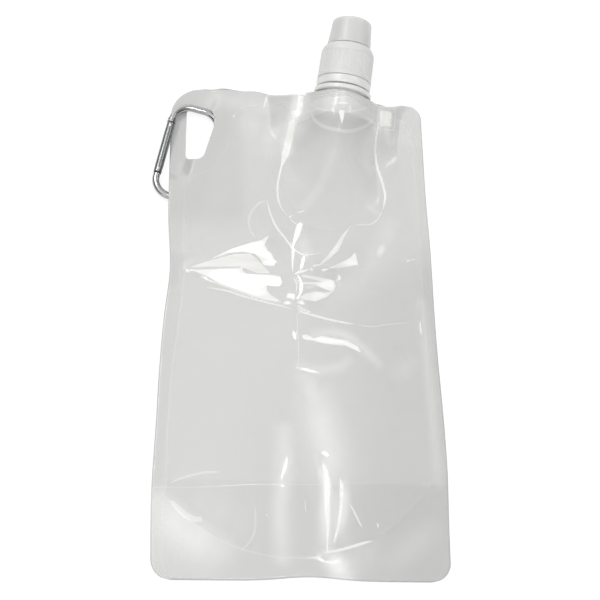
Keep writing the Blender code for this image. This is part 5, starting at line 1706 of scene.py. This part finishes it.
def bend(x, y, start):
    """A quarter bend of the wire round its middle."""
    return arc((x, y), (RING_BEND, RING_BEND), start, start + 90, 18)


def plate_mesh(name, outline, half):
    """A flat plate from an outline, with softened edges."""
    shape = bmesh.new()
    low, high = [
        [shape.verts.new((x * MM, y * MM, z * MM)) for x, y in outline] for z in (-half, half)
    ]
    shape.faces.new(low[::-1])
    shape.faces.new(high)
    skin(shape, low, high)
    bmesh.ops.recalc_face_normals(shape, faces=shape.faces)
    bmesh.ops.bevel(shape, geom=shape.edges[:], offset=0.08 * MM, segments=2, affect="EDGES")
    return written(shape, bpy.data.meshes.new(name))


def along_y(mesh, x, y):
    """Lays a turned mesh along the gate's line, starting at a point of the hook's plane."""
    mesh.transform(Matrix.Translation((x * MM, y * MM, 0)) @ Matrix.Rotation(-math.pi / 2, 4, "X"))
    return mesh


path = [
    (-RING_WIDE, GATE_FOOT - FOOT_PLAY), *bend(-BEND_X, -BEND_Y, 180),
    *bend(BEND_X + SPINE_OUT, -BEND_Y, 270), *bend(BEND_X + SPINE_OUT, BEND_Y, 0),
    *bend(-BEND_X, BEND_Y, 90), (-RING_WIDE, NOSE_Y),
]
hinge_outline = arc((-RING_WIDE, HINGE_Y), (EYE, EYE), 0, 180, 12)
hinge_outline += [(-RING_WIDE - EYE, GATE_FOOT - 2.15), (-RING_WIDE + EYE, GATE_FOOT - 2.15)]
nose_outline = [
    (1.3, NOSE_Y + 1.5), (-1.3, NOSE_Y + 1.5), (-1.3, NOSE_Y - 3.6), (1.3, NOSE_Y - 3.6),
    (1.3, LATCH_Y - 0.8), (-0.8, LATCH_Y - 0.8), (-0.8, LATCH_Y + 0.8), (1.3, LATCH_Y + 0.8),
]
nose_outline = [(x - RING_WIDE, y) for x, y in nose_outline]
collar_profile = [
    (0.0, 2.2), (1.85, 2.2), (2.05, 1.9), (1.82, 1.1), (2.05, 0.3), (1.85, 0.0), (0.0, 0.0)
]
hook_parts = [
    tube_mesh("wire", [(x, y, 0.0) for x, y in path], WIRE, 8),
    plate_mesh("hinge_tongue", hinge_outline, TONGUE_HALF),
    plate_mesh("nose_tongue", nose_outline, TONGUE_HALF),
    along_y(turned_mesh("collar", rounded(collar_profile, 0.15), 48), -RING_WIDE, NOSE_Y),
]
place("hook_wire", joined("hook_wire", hook_parts), RING, ALUMINIUM, "carabiner",
      "carabiner_frame", "aluminium", angle=40)

# %% Gate and pins
GATE = 1.9
SLOT_HALF = 0.75


def cut(target, cutters):
    """Cuts solids out of an object and returns the finished mesh."""
    for cutter in cutters:
        modifier = target.modifiers.new("Cut", "BOOLEAN")
        modifier.operation = "DIFFERENCE"
        modifier.solver = "EXACT"
        modifier.object = cutter
    mesh = evaluated_mesh(target, target.name)
    for cutter in cutters:
        bpy.data.objects.remove(cutter)
    return mesh


def slot(low, high):
    """A box that cuts a slot through the gate, between two heights."""
    shape = bmesh.new()
    bmesh.ops.create_cube(shape, size=1.0)
    size = [length * MM for length in (6, high - low, 2 * SLOT_HALF)]
    middle = [where * MM for where in (-RING_WIDE, (high + low) / 2, 0)]
    bmesh.ops.scale(shape, vec=size, verts=shape.verts)
    bmesh.ops.translate(shape, vec=middle, verts=shape.verts)
    return in_scene("slot", written(shape, bpy.data.meshes.new("slot")))


gate_length = GATE_TIP - GATE_FOOT
gate_profile = [
    (0.0, gate_length), (GATE - 0.1, gate_length), (GATE, gate_length - 0.3), (GATE, 6.2),
    (GATE - 0.05, 6.0), (GATE, 5.8), (GATE, 0.3), (GATE - 0.1, 0.0), (0.0, 0.0),
]
gate_mesh = turned_mesh("gate_tube", rounded(gate_profile, 0.15), 64)
gate_object = in_scene("gate_tube", along_y(gate_mesh, -RING_WIDE, GATE_FOOT))
slots = [slot(GATE_FOOT - 1, HINGE_Y + 2.0), slot(NOSE_Y - 3.9, GATE_TIP + 1)]
place("gate_tube", cut(gate_object, slots), RING, GATE_ALUMINIUM, "gate", "carabiner_gate",
      "aluminium", angle=40)


def pin_mesh(name, y):
    """A cross pin with a domed head at each end."""
    dome = [(0.0, 2.12), (0.25, 2.10), (0.55, 2.0), (0.72, 1.86), (0.72, 1.7), (0.5, 1.7)]
    profile = dome + [(radius, -height) for radius, height in reversed(dome)]
    mesh = turned_mesh(name, profile, 32)
    mesh.transform(Matrix.Translation((-RING_WIDE * MM, y * MM, 0)))
    return mesh


place("hinge_rivet_domed", pin_mesh("rivet", HINGE_Y), RING, STEEL, "carabiner", "hinge_rivet",
      "pin_steel")
place("latch_pin_domed", pin_mesh("latch", LATCH_Y), RING, STEEL, "gate", "latch_pin", "pin_steel")
refinish("gate_spring", STEEL)
refinish("spring_follower", STEEL)

# %% [markdown]
# ## Floor and light
# The flask is shown on white. The floor is partly lit and partly glows for the camera, for mirrors
# and for clear plastic, so it looks white and still takes a soft shadow. Three soft boxes give the
# crumples their mirrors: a bright one overhead, one at the left, and a dimmer one at the right.
# The world fills in evenly, and mirrors see it brighter on the left.

# %% Floor
FLOOR_GLOW = 0.72


def seen_directly(tree):
    """1 for camera, mirror and see-through rays."""
    (most,) = maths(tree, "MAXIMUM")
    rays = node(tree, "ShaderNodeLightPath").outputs
    return most(most(rays["Is Camera Ray"], rays["Is Glossy Ray"]), rays["Is Transmission Ray"])


def floor_material():
    """White that is partly lit and partly glows."""
    made, tree, _ = new_material("studio_floor")
    tree.nodes.clear()
    (times,) = maths(tree, "MULTIPLY")
    lit = node(tree, "ShaderNodeBsdfDiffuse", {"Color": (0.9, 0.9, 0.9, 1.0)})
    glow = node(tree, "ShaderNodeEmission", {"Color": (1, 1, 1, 1), "Strength": 1.12})
    share = times(seen_directly(tree), FLOOR_GLOW)
    mix = node(tree, "ShaderNodeMixShader", {0: share, 1: lit.outputs[0], 2: glow.outputs[0]})
    node(tree, "ShaderNodeOutputMaterial", {"Surface": mix.outputs[0]})
    return made


bpy.ops.mesh.primitive_plane_add(size=6.0, location=(0, 0, -0.1 * MM))
floor = bpy.context.object
floor.name = "studio_floor"
floor.data.materials.append(floor_material())
print("floor laid")

# %% Lights and world
AMBIENT = 0.55


def soft_box(name, facts):
    """A rectangular lamp at its place, facing the flask."""
    width, length = facts["size"]
    data = bpy.data.lights.new(name, "AREA")
    data.shape = "RECTANGLE"
    data.size = width
    data.size_y = length
    data.energy = facts["radiance"] * math.pi * width * length
    away = facts["place"].normalized()
    across = (Vector((1, 0, 0)) - away * away.x).normalized()
    turned = Matrix((across, away.cross(across), away)).transposed().to_4x4()
    in_scene(name, data).matrix_world = Matrix.Translation(facts["place"]) @ turned


for name, facts in LAMPS.items():
    soft_box("lamp_" + name, facts)

world = bpy.data.worlds.new("studio")
bpy.context.scene.world = world
world.use_nodes = True
sky = world.node_tree
way = node(sky, "ShaderNodeTexCoord").outputs["Generated"]
slant = node(sky, "ShaderNodeVectorMath", {0: way, 1: (-1.0, 0.25, 0.0)}, operation="DOT_PRODUCT")
mirrored = spread(sky, slant.outputs["Value"], -0.5, 0.6, 0.45, 1.75, "LINEAR")
glossy = node(sky, "ShaderNodeLightPath").outputs["Is Glossy Ray"]
level = spread(sky, seen_directly(sky), 0.0, 1.0, AMBIENT, 1.0, "LINEAR")
level = node(sky, "ShaderNodeMix", {0: glossy, 2: level, 3: mirrored}, data_type="FLOAT").outputs[0]
fill(sky, sky.nodes["Background"], {"Strength": level, "Color": (1, 1, 1, 1)})
bpy.context.scene.view_settings.view_transform = "Standard"
print("lights:", len(bpy.data.lights))

# %% [markdown]
# ## Dark cards
# Bright metal on white looks like chalk unless it mirrors something dark. Photographers stand black
# cards beside it. Two low cards here are hidden from the camera and cast no shade. Only mirrors see
# them, and they draw the dark lines along the wire.

# %% Cards
CARD_PLACE = (0.75, 0.1, 0.22)
CARD_SIZE = (0.44, 1.6)


def card(name, facing):
    """A dark upright card that only mirrors see, on one side of the flask."""
    x, y, z = CARD_PLACE
    turn = (0, math.pi / 2, 0)
    bpy.ops.mesh.primitive_plane_add(size=1.0, location=(facing * x, y, z), rotation=turn)
    made = bpy.context.object
    made.name = name
    made.scale = (*CARD_SIZE, 1.0)
    black, tree, shader = new_material(name)
    fill(tree, shader, {"Base Color": (0.02, 0.02, 0.02, 1), "Specular IOR Level": 0.0})
    made.data.materials.append(black)
    made.visible_camera = False
    made.visible_diffuse = False
    made.visible_shadow = False
    made.visible_transmission = False


card("card_left", -1)
card("card_right", 1)
print("cards stand", 2 * CARD_PLACE[0], "m apart")
